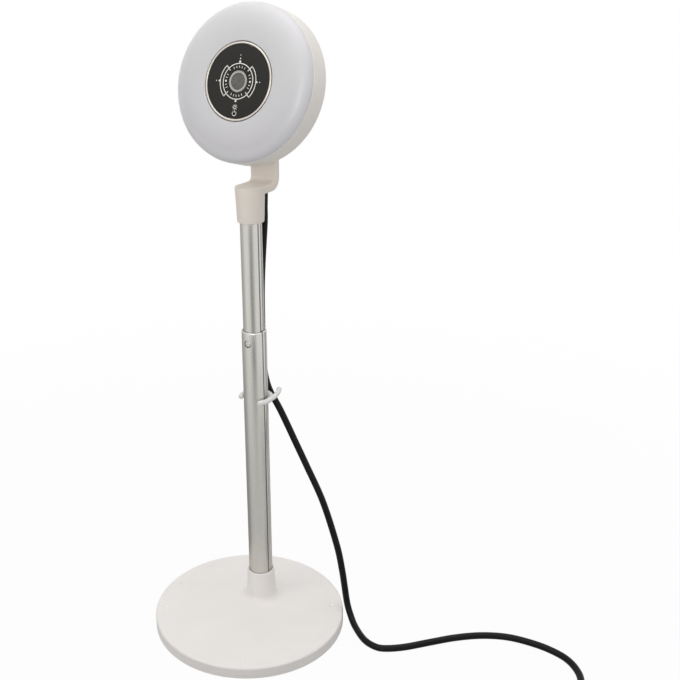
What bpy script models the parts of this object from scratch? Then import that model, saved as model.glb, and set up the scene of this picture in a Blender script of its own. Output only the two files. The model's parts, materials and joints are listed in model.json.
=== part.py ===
"""Desk ring light on a telescopic mast, built as separate pieces. Metres, +Z up, front is -Y."""
import math

import bmesh
import bpy
from mathutils import Vector

# Clearances and working allowances
GAP = 0.0003
RUNNING_GAP = 0.0003
MERGE = 0.000005
OVERRUN = 0.002
SINK = 0.001

# Base
BASE_RADIUS = 0.090
BASE_TOP = 0.0129
BASE_LIFT = 0.0015
BASE_WALL = 0.0022
BASE_EDGE_RADIUS = 0.003
BASE_LOW_CHAMFER = 0.0006
PLATE_THICKNESS = 0.0025
WEIGHT_RIM_GAP = 0.0015
WEIGHT_TOP_GAP = 0.0005
FOOT_RADIUS = 0.007
FOOT_EDGE = 0.0004
FOOT_POCKET = 0.0008
FOOT_INSET = 0.016
FOOT_COUNT = 4
BASE_SCREW_INSET = 0.020
BASE_SCREW_COUNT = 3
BASE_SCREW_RADIUS = 0.0015
BASE_SCREW_HEAD = 0.0030
BASE_SCREW_HEAD_HEIGHT = 0.0010
BASE_POST_RADIUS = 0.004
BASE_POST_GAP = 0.0005
BOSS_TOP = 0.045
BOSS_RADIUS = 0.0132
BOSS_FOOT_RADIUS = 0.0200
BOSS_FOOT_HEIGHT = 0.0080
BOSS_RIM_CHAMFER = 0.0007

# Mast
POLE_Y = 0.022
OUTER_RADIUS = 0.0111
OUTER_RIM = 0.291
INNER_RADIUS = 0.00945
INNER_WALL = 0.0012
TUBE_OVERLAP = 0.060
GROOVE_WIDTH = 0.0042
GROOVE_DEPTH = 0.0008
KEY_WIDTH = 0.0030
KEY_HEIGHT = 0.0005
BUTTON_BELOW_RIM = 0.0105
BUTTON_RADIUS = 0.0030
BUTTON_EDGE = 0.0006
BUTTON_CROWN = 0.0001
BUTTON_HOLE_GAP = 0.0003
BUTTON_RECESS = 0.0004
BUTTON_FLANGE_REACH = 0.0012
BUTTON_FLANGE_FACE = 0.0068
BUTTON_FLANGE_BACK = 0.0056
SPRING_WIDTH = 0.006
SPRING_STRIP = 0.0006
SPRING_LEG = 0.024
SPRING_BACK_GAP = 0.0010
CUT_START = 0.003
CUT_BEYOND = 0.004
BOLT_RADIUS = 0.0025
BOLT_HEAD_RADIUS = 0.0045
BOLT_HEAD_HEIGHT = 0.0019
BOLT_SHORT_OF_PLUG = 0.004
BOLT_WASHER_RADIUS = 0.0055
BOLT_WASHER = 0.0009
BOLT_WASHER_GAP = 0.0010
MAST_PLUG_LENGTH = 0.0255
MAST_PLUG_CHAMFER = 0.001
INNER_PLUG_LENGTH = 0.014
INNER_PLUG_LIP = 0.0012

# Neck
COLLAR_BOTTOM = 0.3884
COLLAR_TOP = 0.419
COLLAR_LOW_RADIUS = 0.01155
COLLAR_HIGH_RADIUS = 0.01275
COLLAR_EDGE_RADIUS = 0.0026
COLLAR_TOP_CHAMFER = 0.0006
INNER_SEAT_DEPTH = 0.0226
SHELF_THICKNESS = 0.0065
STRAP_WIDTH = 0.025
STRAP_FRONT_Y = 0.0425
STRAP_THICKNESS = 0.007
BEND_RADIUS = 0.011
BEND_INNER_RADIUS = 0.005
STRAP_BEVEL = 0.0009
TONGUE_ROOT = 0.004
NECK_SCREW_Z = 0.400
NECK_SCREW_RADIUS = 0.0014
NECK_SCREW_LENGTH = 0.0040
NECK_SCREW_HEAD = 0.0026
NECK_SCREW_HEAD_HEIGHT = 0.0016
NECK_SCREW_SINK = 0.0002
GLAND_SETBACK = 0.001
GLAND_TOP = 0.4162
GLAND_LENGTH = 0.0185
GLAND_RADIUS = 0.0036
GLAND_STRAIGHT = 0.006
GLAND_LIP = 0.0001

# Hinge
HINGE_Z = 0.4835
TILT = math.radians(16)
KNUCKLE_RADIUS = 0.0054
TONGUE_WIDTH = 0.0092
STRAP_SHOULDER_DROP = 0.0095
WASHER_THICKNESS = 0.0006
EAR_RADIUS = 0.0062
EAR_THICKNESS = 0.0057
PIN_RADIUS = 0.0019
PIN_HEAD_RADIUS = 0.0040
PIN_HEAD_HEIGHT = 0.0022
PIN_PAST_NUT = 0.0008
NUT_RADIUS = 0.0042
NUT_HEIGHT = 0.0028
BLOCK_PLATE = 0.0027
BLOCK_EDGE = 0.0008
BLOCK_MARGIN = 0.0014
BLOCK_HALF_HEIGHT = 0.010
BLOCK_SCREW_OFFSET = 0.0078
BLOCK_SCREW_RADIUS = 0.0012
BLOCK_SCREW_LENGTH = 0.0075
BLOCK_SCREW_HEAD = 0.0021
BLOCK_SCREW_HEAD_HEIGHT = 0.0011

# Head, depths measured from the panel's face, forward positive
PANEL_BEFORE_HINGE = 0.0414
PANEL_ABOVE_HINGE = 0.0113
HEAD_RADIUS = 0.0641
HEAD_WALL = 0.0022
HEAD_BACK = -0.0324
HEAD_BACK_RADIUS = 0.0055
HEAD_INNER_RADIUS_LEAST = 0.0005
SEAM = -0.0093
DIFFUSER_STEP = 0.0004
DIFFUSER_WALL = 0.0018
DIFFUSER_CROWN = 0.0012
DIFFUSER_SHOULDER = 0.0105
DIFFUSER_LIP = 0.0028
DIFFUSER_FOOT = -0.0052
CROWN_STEPS = 4
SHOULDER_STEPS = 6
PANEL_RADIUS = 0.0292
PANEL_THICKNESS = 0.0024
TRIM_WIDTH = 0.0018
TRIM_RISE = 0.0004
BEZEL_RADIUS = 0.00845
BEZEL_RISE = 0.00015
BEZEL_EDGE = 0.0002
KEY_RADIUS = 0.00625
KEY_EDGE = 0.0002
KEY_THICKNESS = 0.0016
KEY_STEM_RADIUS = 0.002
KEY_TRAVEL = 0.0008
KEY_STOP_GAP = 0.0002
CARRIER_FLOOR = 0.0015
CARRIER_SKIRT_WALL = 0.0016
CARRIER_SKIRT_END = -0.024
CARRIER_LEDGE = 0.002
CARRIER_LEDGE_INSET = 0.0005
BOARD_RADIUS = 0.020
BOARD_THICKNESS = 0.0014
BOARD_FACE = -0.0070
SWITCH_SIDE = 0.006
SWITCH_HEIGHT = 0.0015
SWITCH_PLUNGER_RADIUS = 0.0016
SWITCH_PLUNGER_RISE = 0.0006
HOUSING_SCREW_CIRCLE = 0.026
HOUSING_SCREW_COUNT = 3
HOUSING_SCREW_RADIUS = 0.0014
HOUSING_SCREW_LENGTH = 0.012
HOUSING_SCREW_HEAD = 0.0028
HOUSING_SCREW_HEAD_HEIGHT = 0.0016
HOUSING_POST_RADIUS = 0.0036
TRAY_FLOOR = -0.0196
TRAY_WALL = 0.0014
TRAY_RIM_GAP = 0.0026
TRAY_RIM_DROP = 0.0034
TRAY_INNER_TOP = -0.0058
LED_BOARD_THICKNESS = 0.0016
LED_COUNT = 24
LED_SIZE = (0.0035, 0.0028, 0.0008)
LED_SINK = 0.0004

# Cord, clip and plug
CORD_RADIUS = 0.0031
CORD_POINT_STEP = 0.0125
LAY_HEIGHT = 0.0033
CLIP_ROD_RADIUS = 0.002
CLIP_HOOK_SHARE = 0.95
CLIP_STEPS = 30
CLIP_Z = 0.2258
CLIP_FROM = math.radians(-39)
CLIP_TO = math.radians(202)
COIL_CENTRE = (0.345, 0.020)
COIL_OUTER_RADIUS = 0.042
COIL_STEP = 0.0068
COIL_TURNS_PER_LAYER = 2.5
COIL_POINTS_PER_TURN = 24
COIL_CLIMB_TURN = 0.5
COIL_LIFT = 0.0010
TIE_STRIP = 0.00065
TIE_WIDTH = 0.010
PLUG_GRIP = (0.0156, 0.0086, 0.024)
PLUG_GRIP_EDGE = 0.0014
PLUG_FLOOR_GAP = 0.0004
PLUG_SHELL = (0.012, 0.0045, 0.0180)
PLUG_SHELL_WALL = 0.0004
PLUG_TONGUE = 0.0016
PLUG_TONGUE_SHORT = 0.001
PLUG_RELIEF_LENGTH = 0.014
PLUG_RELIEF_STEP = 0.0003
PLUG_RELIEF_FLARE = 0.0009

# How far the tail has run from the coil, and the share of its drop to the plug that it has made
TAIL_DROPS = [(GAP, 0.0), (2 * CORD_RADIUS, 0.0), (0.020, 0.02), (0.034, 0.28), (0.048, 0.72),
              (0.062, 0.97), (0.074, 1.0)]
# The hook's line past the ring's rod: outward from the ring's outside, back and up
HOOK_LINE = [(-0.0008, 0.0050, 0.0012), (-0.0002, 0.0090, 0.0026), (-0.0004, 0.0130, 0.0038),
             (-0.0016, 0.0165, 0.0048)]
HOOK_ROOT = (0.98, 0.0010, 0.0002)

# The cord's route as read from the photograph, from the gland down to the clip
UPPER_ROUTE = [
    (0.0, 0.0435, 0.3974), (0.0, 0.0433, 0.385), (-0.0010, 0.0422, 0.365),
    (-0.0021, 0.0412, 0.345), (-0.0033, 0.0408, 0.320), (-0.0040, 0.0409, 0.290),
    (-0.0041, 0.0410, 0.265), (-0.0034, 0.0410, 0.248), (-0.0011, 0.0411, 0.2355),
    (0.0030, 0.0416, 0.2245),
]
# From the clip down past the base's edge, over the floor and round to the coil
LOWER_ROUTE = [
    (0.00325, 0.04163, 0.2240), (0.0123, 0.0430, 0.2078), (0.0215, 0.0443, 0.189),
    (0.0278, 0.0450, 0.1760), (0.0387, 0.0455, 0.155), (0.0558, 0.0460, 0.121),
    (0.0705, 0.0460, 0.079), (0.0762, 0.0460, 0.0535), (0.0787, 0.0460, 0.038),
    (0.0822, 0.0452, 0.0195), (0.0880, 0.0420, 0.0085), (0.0968, 0.0346, 0.0040),
    (0.1118, 0.0232, LAY_HEIGHT), (0.1245, 0.0193, LAY_HEIGHT), (0.1340, 0.0216, LAY_HEIGHT),
    (0.1482, 0.0324, LAY_HEIGHT), (0.1652, 0.0506, LAY_HEIGHT), (0.1826, 0.0688, LAY_HEIGHT),
    (0.2014, 0.0838, LAY_HEIGHT), (0.2212, 0.0936, LAY_HEIGHT), (0.2408, 0.0972, LAY_HEIGHT),
    (0.2615, 0.0968, LAY_HEIGHT), (0.2803, 0.0910, LAY_HEIGHT), (0.2945, 0.0772, LAY_HEIGHT),
    (0.3015, 0.0590, LAY_HEIGHT), (0.3030, 0.0450, LAY_HEIGHT + 0.0004),
]

# Steps round a full turn
FINE = 48
MEDIUM = 30
COARSE = 16
SMALL = 12

MAST_AXIS = (0.0, POLE_Y, 0.0)
HINGE = (0.0, STRAP_FRONT_Y + STRAP_THICKNESS / 2, HINGE_Z)
FACE = (0, -PANEL_BEFORE_HINGE, PANEL_ABOVE_HINGE)
# Turns: a piece drawn upright that faces the front, the rear, or lies across along X
FORWARD = (math.pi / 2, 0, 0)
REARWARD = (-math.pi / 2, 0, 0)
ALONG_X = (0, math.pi / 2, 0)
SIDEWAYS = (math.pi / 2, 0, math.pi / 2)

# Heights and widths that follow from the sizes above
PLATE_TOP = BASE_LIFT + PLATE_THICKNESS
BASE_UNDER = BASE_TOP - BASE_WALL
WEIGHT_LOW = PLATE_TOP + GAP
WEIGHT_HIGH = BASE_UNDER - WEIGHT_TOP_GAP
SEAT_Z = WEIGHT_HIGH + GAP
INNER_RIM = BASE_RADIUS - BASE_WALL
INNER_BOTTOM = OUTER_RIM - TUBE_OVERLAP
BUTTON_Z = OUTER_RIM - BUTTON_BELOW_RIM
FOOT_CIRCLE = BASE_RADIUS - FOOT_INSET
BASE_SCREW_CIRCLE = BASE_RADIUS - BASE_SCREW_INSET
BUTTON_FLANGE = BUTTON_RADIUS + BUTTON_FLANGE_REACH
HEAD_INSIDE = HEAD_RADIUS - HEAD_WALL
HEAD_INNER_BACK = HEAD_BACK + HEAD_WALL
DIFFUSER_RADIUS = HEAD_RADIUS - DIFFUSER_STEP
TRAY_RADIUS = HEAD_INSIDE - TRAY_RIM_GAP
SWITCH_TOP = BOARD_FACE + GAP + SWITCH_HEIGHT + SWITCH_PLUNGER_RISE
COIL_INNER_RADIUS = COIL_OUTER_RADIUS - COIL_STEP * COIL_TURNS_PER_LAYER
COIL_LOW = CORD_RADIUS + COIL_LIFT
COIL_HIGH = COIL_LOW + COIL_STEP


def clear_scene():
    for old in list(bpy.data.objects):
        bpy.data.objects.remove(old, do_unlink=True)


def finish(name, colour, roughness, metallic=0.0):
    material = bpy.data.materials.new(name)
    material.use_nodes = True
    shader = material.node_tree.nodes["Principled BSDF"]
    shader.inputs["Base Color"].default_value = (*colour, 1.0)
    shader.inputs["Roughness"].default_value = roughness
    shader.inputs["Metallic"].default_value = metallic
    return material


def make_finishes():
    return {
        "base white": finish("base white", (0.80, 0.78, 0.76), 0.5),
        "warm white": finish("warm white", (0.72, 0.68, 0.62), 0.5),
        "diffuser": finish("diffuser", (0.78, 0.78, 0.80), 0.35),
        "satin metal": finish("satin metal", (0.70, 0.69, 0.67), 0.32, 1.0),
        "champagne": finish("champagne", (0.78, 0.72, 0.60), 0.25, 1.0),
        "panel": finish("panel", (0.042, 0.042, 0.040), 0.45),
        "grey key": finish("grey key", (0.19, 0.18, 0.17), 0.5),
        "pale bezel": finish("pale bezel", (0.60, 0.58, 0.54), 0.45),
        "steel": finish("steel", (0.55, 0.55, 0.55), 0.35, 1.0),
        "iron": finish("iron", (0.16, 0.16, 0.17), 0.6, 1.0),
        "board": finish("board", (0.03, 0.15, 0.07), 0.5),
        "led board": finish("led board", (0.85, 0.85, 0.80), 0.5),
        "rubber": finish("rubber", (0.02, 0.02, 0.02), 0.8),
        "black cord": finish("black cord", (0.012, 0.012, 0.013), 0.5),
        "clip white": finish("clip white", (0.82, 0.81, 0.80), 0.4),
        "natural plastic": finish("natural plastic", (0.70, 0.70, 0.68), 0.55),
    }


def place(name, mesh, look, parent=None, location=(0, 0, 0), rotation=(0, 0, 0)):
    obj = bpy.data.objects.new(name, mesh)
    bpy.context.scene.collection.objects.link(obj)
    obj.parent = parent
    obj.location = location
    obj.rotation_euler = rotation
    if look is not None:
        mesh.materials.append(look)
    return obj


def pivot(name, location, rotation=(0, 0, 0)):
    empty = bpy.data.objects.new(name, None)
    bpy.context.scene.collection.objects.link(empty)
    empty.location = location
    empty.rotation_euler = rotation
    return empty


def mesh_from(bm, name):
    bmesh.ops.remove_doubles(bm, verts=bm.verts, dist=MERGE)
    bmesh.ops.recalc_face_normals(bm, faces=bm.faces)
    mesh = bpy.data.meshes.new(name)
    bm.to_mesh(mesh)
    bm.free()
    mesh.shade_smooth()
    mesh.set_sharp_from_angle(angle=math.radians(35))
    return mesh


def turned(name, profile, steps, ring=False):
    """A profile of (radius, height) points turned about Z. A ring's profile closes on itself."""
    bm = bmesh.new()
    verts = [bm.verts.new((r, 0, z)) for r, z in profile]
    pairs = list(zip(verts, verts[1:]))
    if ring:
        pairs.append((verts[-1], verts[0]))
    edges = [bm.edges.new(pair) for pair in pairs]
    bmesh.ops.spin(bm, geom=verts + edges, cent=(0, 0, 0), axis=(0, 0, 1),
                   angle=math.tau, steps=steps)
    return mesh_from(bm, name)


def prism(name, outline, low, high):
    """A closed (x, y) outline carried from one height to another."""
    bm = bmesh.new()
    face = bm.faces.new([bm.verts.new((x, y, low)) for x, y in outline])
    grown = bmesh.ops.extrude_face_region(bm, geom=[face])
    moved = [item for item in grown["geom"] if isinstance(item, bmesh.types.BMVert)]
    bmesh.ops.translate(bm, vec=(0, 0, high - low), verts=moved)
    return mesh_from(bm, name)


def rod(name, radius, low, high, steps=COARSE):
    return prism(name, around(steps, radius), low, high)


def box(name, size, low):
    half_x, half_y = size[0] / 2, size[1] / 2
    outline = [(-half_x, -half_y), (half_x, -half_y), (half_x, half_y), (-half_x, half_y)]
    return prism(name, outline, low, low + size[2])


def arc(centre, radius, start, end, steps):
    """Points on an arc, angles in degrees."""
    angles = [math.radians(start + (end - start) * i / steps) for i in range(steps + 1)]
    return [(centre[0] + radius * math.cos(a), centre[1] + radius * math.sin(a)) for a in angles]


def combine(target, mesh, operation, parent=None, location=(0, 0, 0), rotation=(0, 0, 0), bevel=0.0):
    """Cuts a hidden tool out of the target, or joins it on."""
    tool = place(f"{target.name}_tool_{len(target.modifiers)}", mesh, None, parent, location, rotation)
    if bevel:
        edge = tool.modifiers.new("edges", "BEVEL")
        edge.width = bevel
        edge.segments = 2
        edge.limit_method = "ANGLE"
    tool.hide_render = True
    tool.display_type = "WIRE"
    change = target.modifiers.new(operation.lower(), "BOOLEAN")
    change.operation = operation
    change.object = tool
    change.solver = "EXACT"
    return tool


def grooved_outline(radius, width, depth, side_steps=18, floor_steps=2):
    """A circle with a flat-sided groove at +X and at -X."""
    half = math.asin(width / 2 / radius)
    points = []
    for centre in (0.0, math.pi):
        for i in range(floor_steps + 1):
            angle = centre + half * (2 * i / floor_steps - 1)
            points.append(((radius - depth) * math.cos(angle), (radius - depth) * math.sin(angle)))
        for i in range(side_steps + 1):
            angle = centre + half + (math.pi - 2 * half) * i / side_steps
            points.append((radius * math.cos(angle), radius * math.sin(angle)))
    return points


def grooved_tube(name, outside, inside, low, high):
    """A tube between two outlines that have the same number of points."""
    bm = bmesh.new()
    loops = [[bm.verts.new((x, y, z)) for x, y in outline]
             for outline, z in ((outside, low), (outside, high), (inside, high), (inside, low))]
    count = len(outside)
    for first, second in zip(loops, loops[1:] + loops[:1]):
        for i in range(count):
            j = (i + 1) % count
            bm.faces.new((first[i], first[j], second[j], second[i]))
    return mesh_from(bm, name)


def around(count, circle, first_turn=0.0):
    """Places on a circle, evenly spaced."""
    angles = [math.tau * (first_turn + i / count) for i in range(count)]
    return [(circle * math.cos(a), circle * math.sin(a)) for a in angles]


def screw_profile(head_radius, head_height, shank_radius, shank_length):
    """A pan-head screw standing on its tip side up: head from 0 down, shank upward."""
    return [(0, -head_height), (head_radius * 0.8, -head_height), (head_radius, -head_height * 0.55),
            (head_radius, 0), (shank_radius, 0), (shank_radius, shank_length), (0, shank_length)]


# Base pieces

def make_base(look):
    screw_places = around(BASE_SCREW_COUNT, BASE_SCREW_CIRCLE, 1 / 12)
    cover = make_base_cover(look, screw_places)
    bore = grooved_outline(OUTER_RADIUS + GAP, GROOVE_WIDTH - 2 * GAP, GROOVE_DEPTH)
    combine(cover, prism("bore", bore, BASE_UNDER - OVERRUN, BOSS_TOP + OVERRUN), "DIFFERENCE",
            location=MAST_AXIS)

    slug = rod("base_weight", INNER_RIM - WEIGHT_RIM_GAP, WEIGHT_LOW, WEIGHT_HIGH, FINE)
    weight = place("base_weight", slug, look["iron"])
    disc = rod("base_plate", INNER_RIM - GAP, BASE_LIFT, PLATE_TOP, FINE)
    plate = place("base_plate", disc, look["base white"])
    reach = (BASE_LIFT - OVERRUN, WEIGHT_HIGH + OVERRUN)
    combine(weight, rod("bolt_way", BOLT_RADIUS + GAP, *reach, SMALL), "DIFFERENCE", location=MAST_AXIS)
    washer_way = rod("washer_way", BOLT_WASHER_RADIUS + BOLT_WASHER_GAP, *reach)
    combine(plate, washer_way, "DIFFERENCE", location=MAST_AXIS)
    seat = BASE_LIFT + BASE_SCREW_HEAD_HEIGHT + GAP
    for i, (x, y) in enumerate(screw_places, 1):
        spot = (x, y, 0)
        post_way = rod("post_way", BASE_POST_RADIUS + BASE_POST_GAP, *reach)
        combine(weight, post_way, "DIFFERENCE", location=spot)
        combine(plate, rod("way", BASE_SCREW_RADIUS + GAP, *reach, SMALL), "DIFFERENCE", location=spot)
        pocket = rod("pocket", BASE_SCREW_HEAD + GAP, reach[0], seat, SMALL)
        combine(plate, pocket, "DIFFERENCE", location=spot)
        shape = screw_profile(BASE_SCREW_HEAD, BASE_SCREW_HEAD_HEIGHT, BASE_SCREW_RADIUS,
                              BASE_UNDER - SINK - BASE_POST_GAP - seat)
        place(f"base_screw_{i}", turned("base_screw", shape, SMALL), look["steel"],
              location=(x, y, seat - GAP))
    pocket_top = BASE_LIFT + FOOT_POCKET
    foot_top = pocket_top - GAP
    shape = [(0, 0), (FOOT_RADIUS - FOOT_EDGE, 0), (FOOT_RADIUS, FOOT_EDGE), (FOOT_RADIUS, foot_top),
             (0, foot_top)]
    for i, (x, y) in enumerate(around(FOOT_COUNT, FOOT_CIRCLE, 1 / 8), 1):
        pocket = rod("pocket", FOOT_RADIUS + GAP, reach[0], pocket_top)
        combine(plate, pocket, "DIFFERENCE", location=(x, y, 0))
        place(f"base_foot_{i}", turned("base_foot", shape, COARSE), look["rubber"], location=(x, y, 0))


def make_base_cover(look, screw_places):
    """The moulded cover: a flat dish, the flared boss for the mast and three posts for the screws."""
    edge_centre = (BASE_RADIUS - BASE_EDGE_RADIUS, BASE_TOP - BASE_EDGE_RADIUS)
    profile = [(0, BASE_UNDER), (INNER_RIM, BASE_UNDER), (INNER_RIM, BASE_LIFT),
               (BASE_RADIUS - BASE_LOW_CHAMFER, BASE_LIFT), (BASE_RADIUS, BASE_LIFT + BASE_LOW_CHAMFER)]
    profile += arc(edge_centre, BASE_EDGE_RADIUS, 0, 90, 5) + [(0, BASE_TOP)]
    cover = place("base_cover", turned("base_cover", profile, FINE), look["base white"])
    flare = BOSS_FOOT_RADIUS - BOSS_RADIUS
    foot = [(BOSS_RADIUS + flare * (1 - math.sin(t)), BASE_TOP + BOSS_FOOT_HEIGHT * (1 - math.cos(t)))
            for t in (math.pi / 2 * i / 6 for i in range(7))]
    boss = ([(0, BASE_UNDER + SINK), (BOSS_FOOT_RADIUS, BASE_UNDER + SINK)] + foot
            + [(BOSS_RADIUS, BOSS_TOP - BOSS_RIM_CHAMFER), (BOSS_RADIUS - BOSS_RIM_CHAMFER, BOSS_TOP),
               (0, BOSS_TOP)])
    combine(cover, turned("boss", boss, MEDIUM), "UNION", location=MAST_AXIS)
    post_low = PLATE_TOP + GAP
    for x, y in screw_places:
        post = rod("post", BASE_POST_RADIUS, post_low, BASE_UNDER + SINK)
        combine(cover, post, "UNION", location=(x, y, 0))
        pilot = rod("pilot", BASE_SCREW_RADIUS + GAP, post_low - OVERRUN, BASE_UNDER - SINK, SMALL)
        combine(cover, pilot, "DIFFERENCE", location=(x, y, 0))
    return cover


def make_mast_foot(look):
    washer_high = WEIGHT_LOW - GAP
    washer_low = washer_high - BOLT_WASHER
    ring = [(BOLT_RADIUS + GAP, washer_low), (BOLT_WASHER_RADIUS, washer_low),
            (BOLT_WASHER_RADIUS, washer_high), (BOLT_RADIUS + GAP, washer_high)]
    place("mast_washer", turned("mast_washer", ring, COARSE, ring=True), look["steel"], location=MAST_AXIS)
    head_top = washer_low - GAP
    plug_top = SEAT_Z + MAST_PLUG_LENGTH
    shape = screw_profile(BOLT_HEAD_RADIUS, BOLT_HEAD_HEIGHT, BOLT_RADIUS,
                          plug_top - BOLT_SHORT_OF_PLUG - head_top)
    place("mast_bolt", turned("mast_bolt", shape, COARSE), look["steel"], location=(0, POLE_Y, head_top))
    plug_radius = INNER_RADIUS + RUNNING_GAP - KEY_HEIGHT - GAP
    chamfer = MAST_PLUG_CHAMFER
    ring = [(BOLT_RADIUS + GAP, SEAT_Z), (plug_radius, SEAT_Z), (plug_radius, plug_top - chamfer),
            (plug_radius - chamfer, plug_top), (BOLT_RADIUS + GAP, plug_top)]
    place("mast_plug", turned("mast_plug", ring, COARSE, ring=True), look["natural plastic"],
          location=MAST_AXIS)


def make_tubes(look, mast):
    bore = INNER_RADIUS + RUNNING_GAP
    outer = grooved_tube("outer_tube", grooved_outline(OUTER_RADIUS, GROOVE_WIDTH, GROOVE_DEPTH),
                         grooved_outline(bore, KEY_WIDTH, KEY_HEIGHT), SEAT_Z, OUTER_RIM)
    outer_tube = place("outer_tube", outer, look["satin metal"], location=MAST_AXIS)
    hole = rod("button_hole", BUTTON_RADIUS + BUTTON_HOLE_GAP, CUT_START, OUTER_RADIUS + CUT_BEYOND)
    combine(outer_tube, hole, "DIFFERENCE", location=(0, POLE_Y, BUTTON_Z), rotation=FORWARD)

    core = INNER_RADIUS - INNER_WALL
    inner_top = COLLAR_BOTTOM + INNER_SEAT_DEPTH
    inner = grooved_tube("inner_tube", grooved_outline(INNER_RADIUS, GROOVE_WIDTH, GROOVE_DEPTH),
                         grooved_outline(core, GROOVE_WIDTH + INNER_WALL, GROOVE_DEPTH),
                         INNER_BOTTOM, inner_top)
    inner_tube = place("inner_tube", inner, look["satin metal"], parent=mast)
    combine(inner_tube, hole.copy(), "DIFFERENCE", parent=mast, location=(0, 0, BUTTON_Z), rotation=FORWARD)
    screw_way = rod("screw_way", NECK_SCREW_RADIUS + GAP, CUT_START, INNER_RADIUS + CUT_BEYOND, SMALL)
    combine(inner_tube, screw_way, "DIFFERENCE", parent=mast, location=(0, 0, NECK_SCREW_Z),
            rotation=REARWARD)

    plug_body = core - GROOVE_DEPTH - GAP
    lip = bore - KEY_HEIGHT - GAP
    seat = INNER_BOTTOM - GAP
    plug_low, plug_high = seat - INNER_PLUG_LIP, seat + INNER_PLUG_LENGTH
    shape = [(0, plug_low), (lip, plug_low), (lip, seat), (plug_body, seat), (plug_body, plug_high),
             (0, plug_high)]
    place("inner_tube_plug", turned("inner_tube_plug", shape, COARSE), look["natural plastic"], parent=mast)


def make_snap_button(look, mast):
    tip = OUTER_RADIUS - BUTTON_RECESS
    shape = [(0, BUTTON_FLANGE_BACK), (BUTTON_FLANGE, BUTTON_FLANGE_BACK),
             (BUTTON_FLANGE, BUTTON_FLANGE_FACE), (BUTTON_RADIUS, BUTTON_FLANGE_FACE),
             (BUTTON_RADIUS, tip - BUTTON_EDGE), (BUTTON_RADIUS - BUTTON_EDGE, tip - BUTTON_CROWN), (0, tip)]
    place("snap_button", turned("snap_button", shape, COARSE), look["satin metal"],
          location=(0, POLE_Y, BUTTON_Z), rotation=FORWARD)
    front_leg = -(BUTTON_FLANGE_BACK - GAP)
    back_leg = INNER_RADIUS - INNER_WALL - SPRING_BACK_GAP
    radius = (back_leg - front_leg) / 2
    middle = (front_leg + back_leg) / 2
    top = BUTTON_Z + BUTTON_RADIUS
    bend_z = top - SPRING_LEG
    outside = arc((middle, bend_z), radius, 180, 360, 10)
    inside = arc((middle, bend_z), radius - SPRING_STRIP, 360, 180, 10)
    outline = ([(front_leg, top)] + outside + [(back_leg, top), (back_leg - SPRING_STRIP, top)]
               + inside + [(front_leg + SPRING_STRIP, top)])
    strip = prism("button_spring", outline, -SPRING_WIDTH / 2, SPRING_WIDTH / 2)
    place("button_spring", strip, look["steel"], parent=mast, rotation=SIDEWAYS)


# Neck pieces

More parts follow.
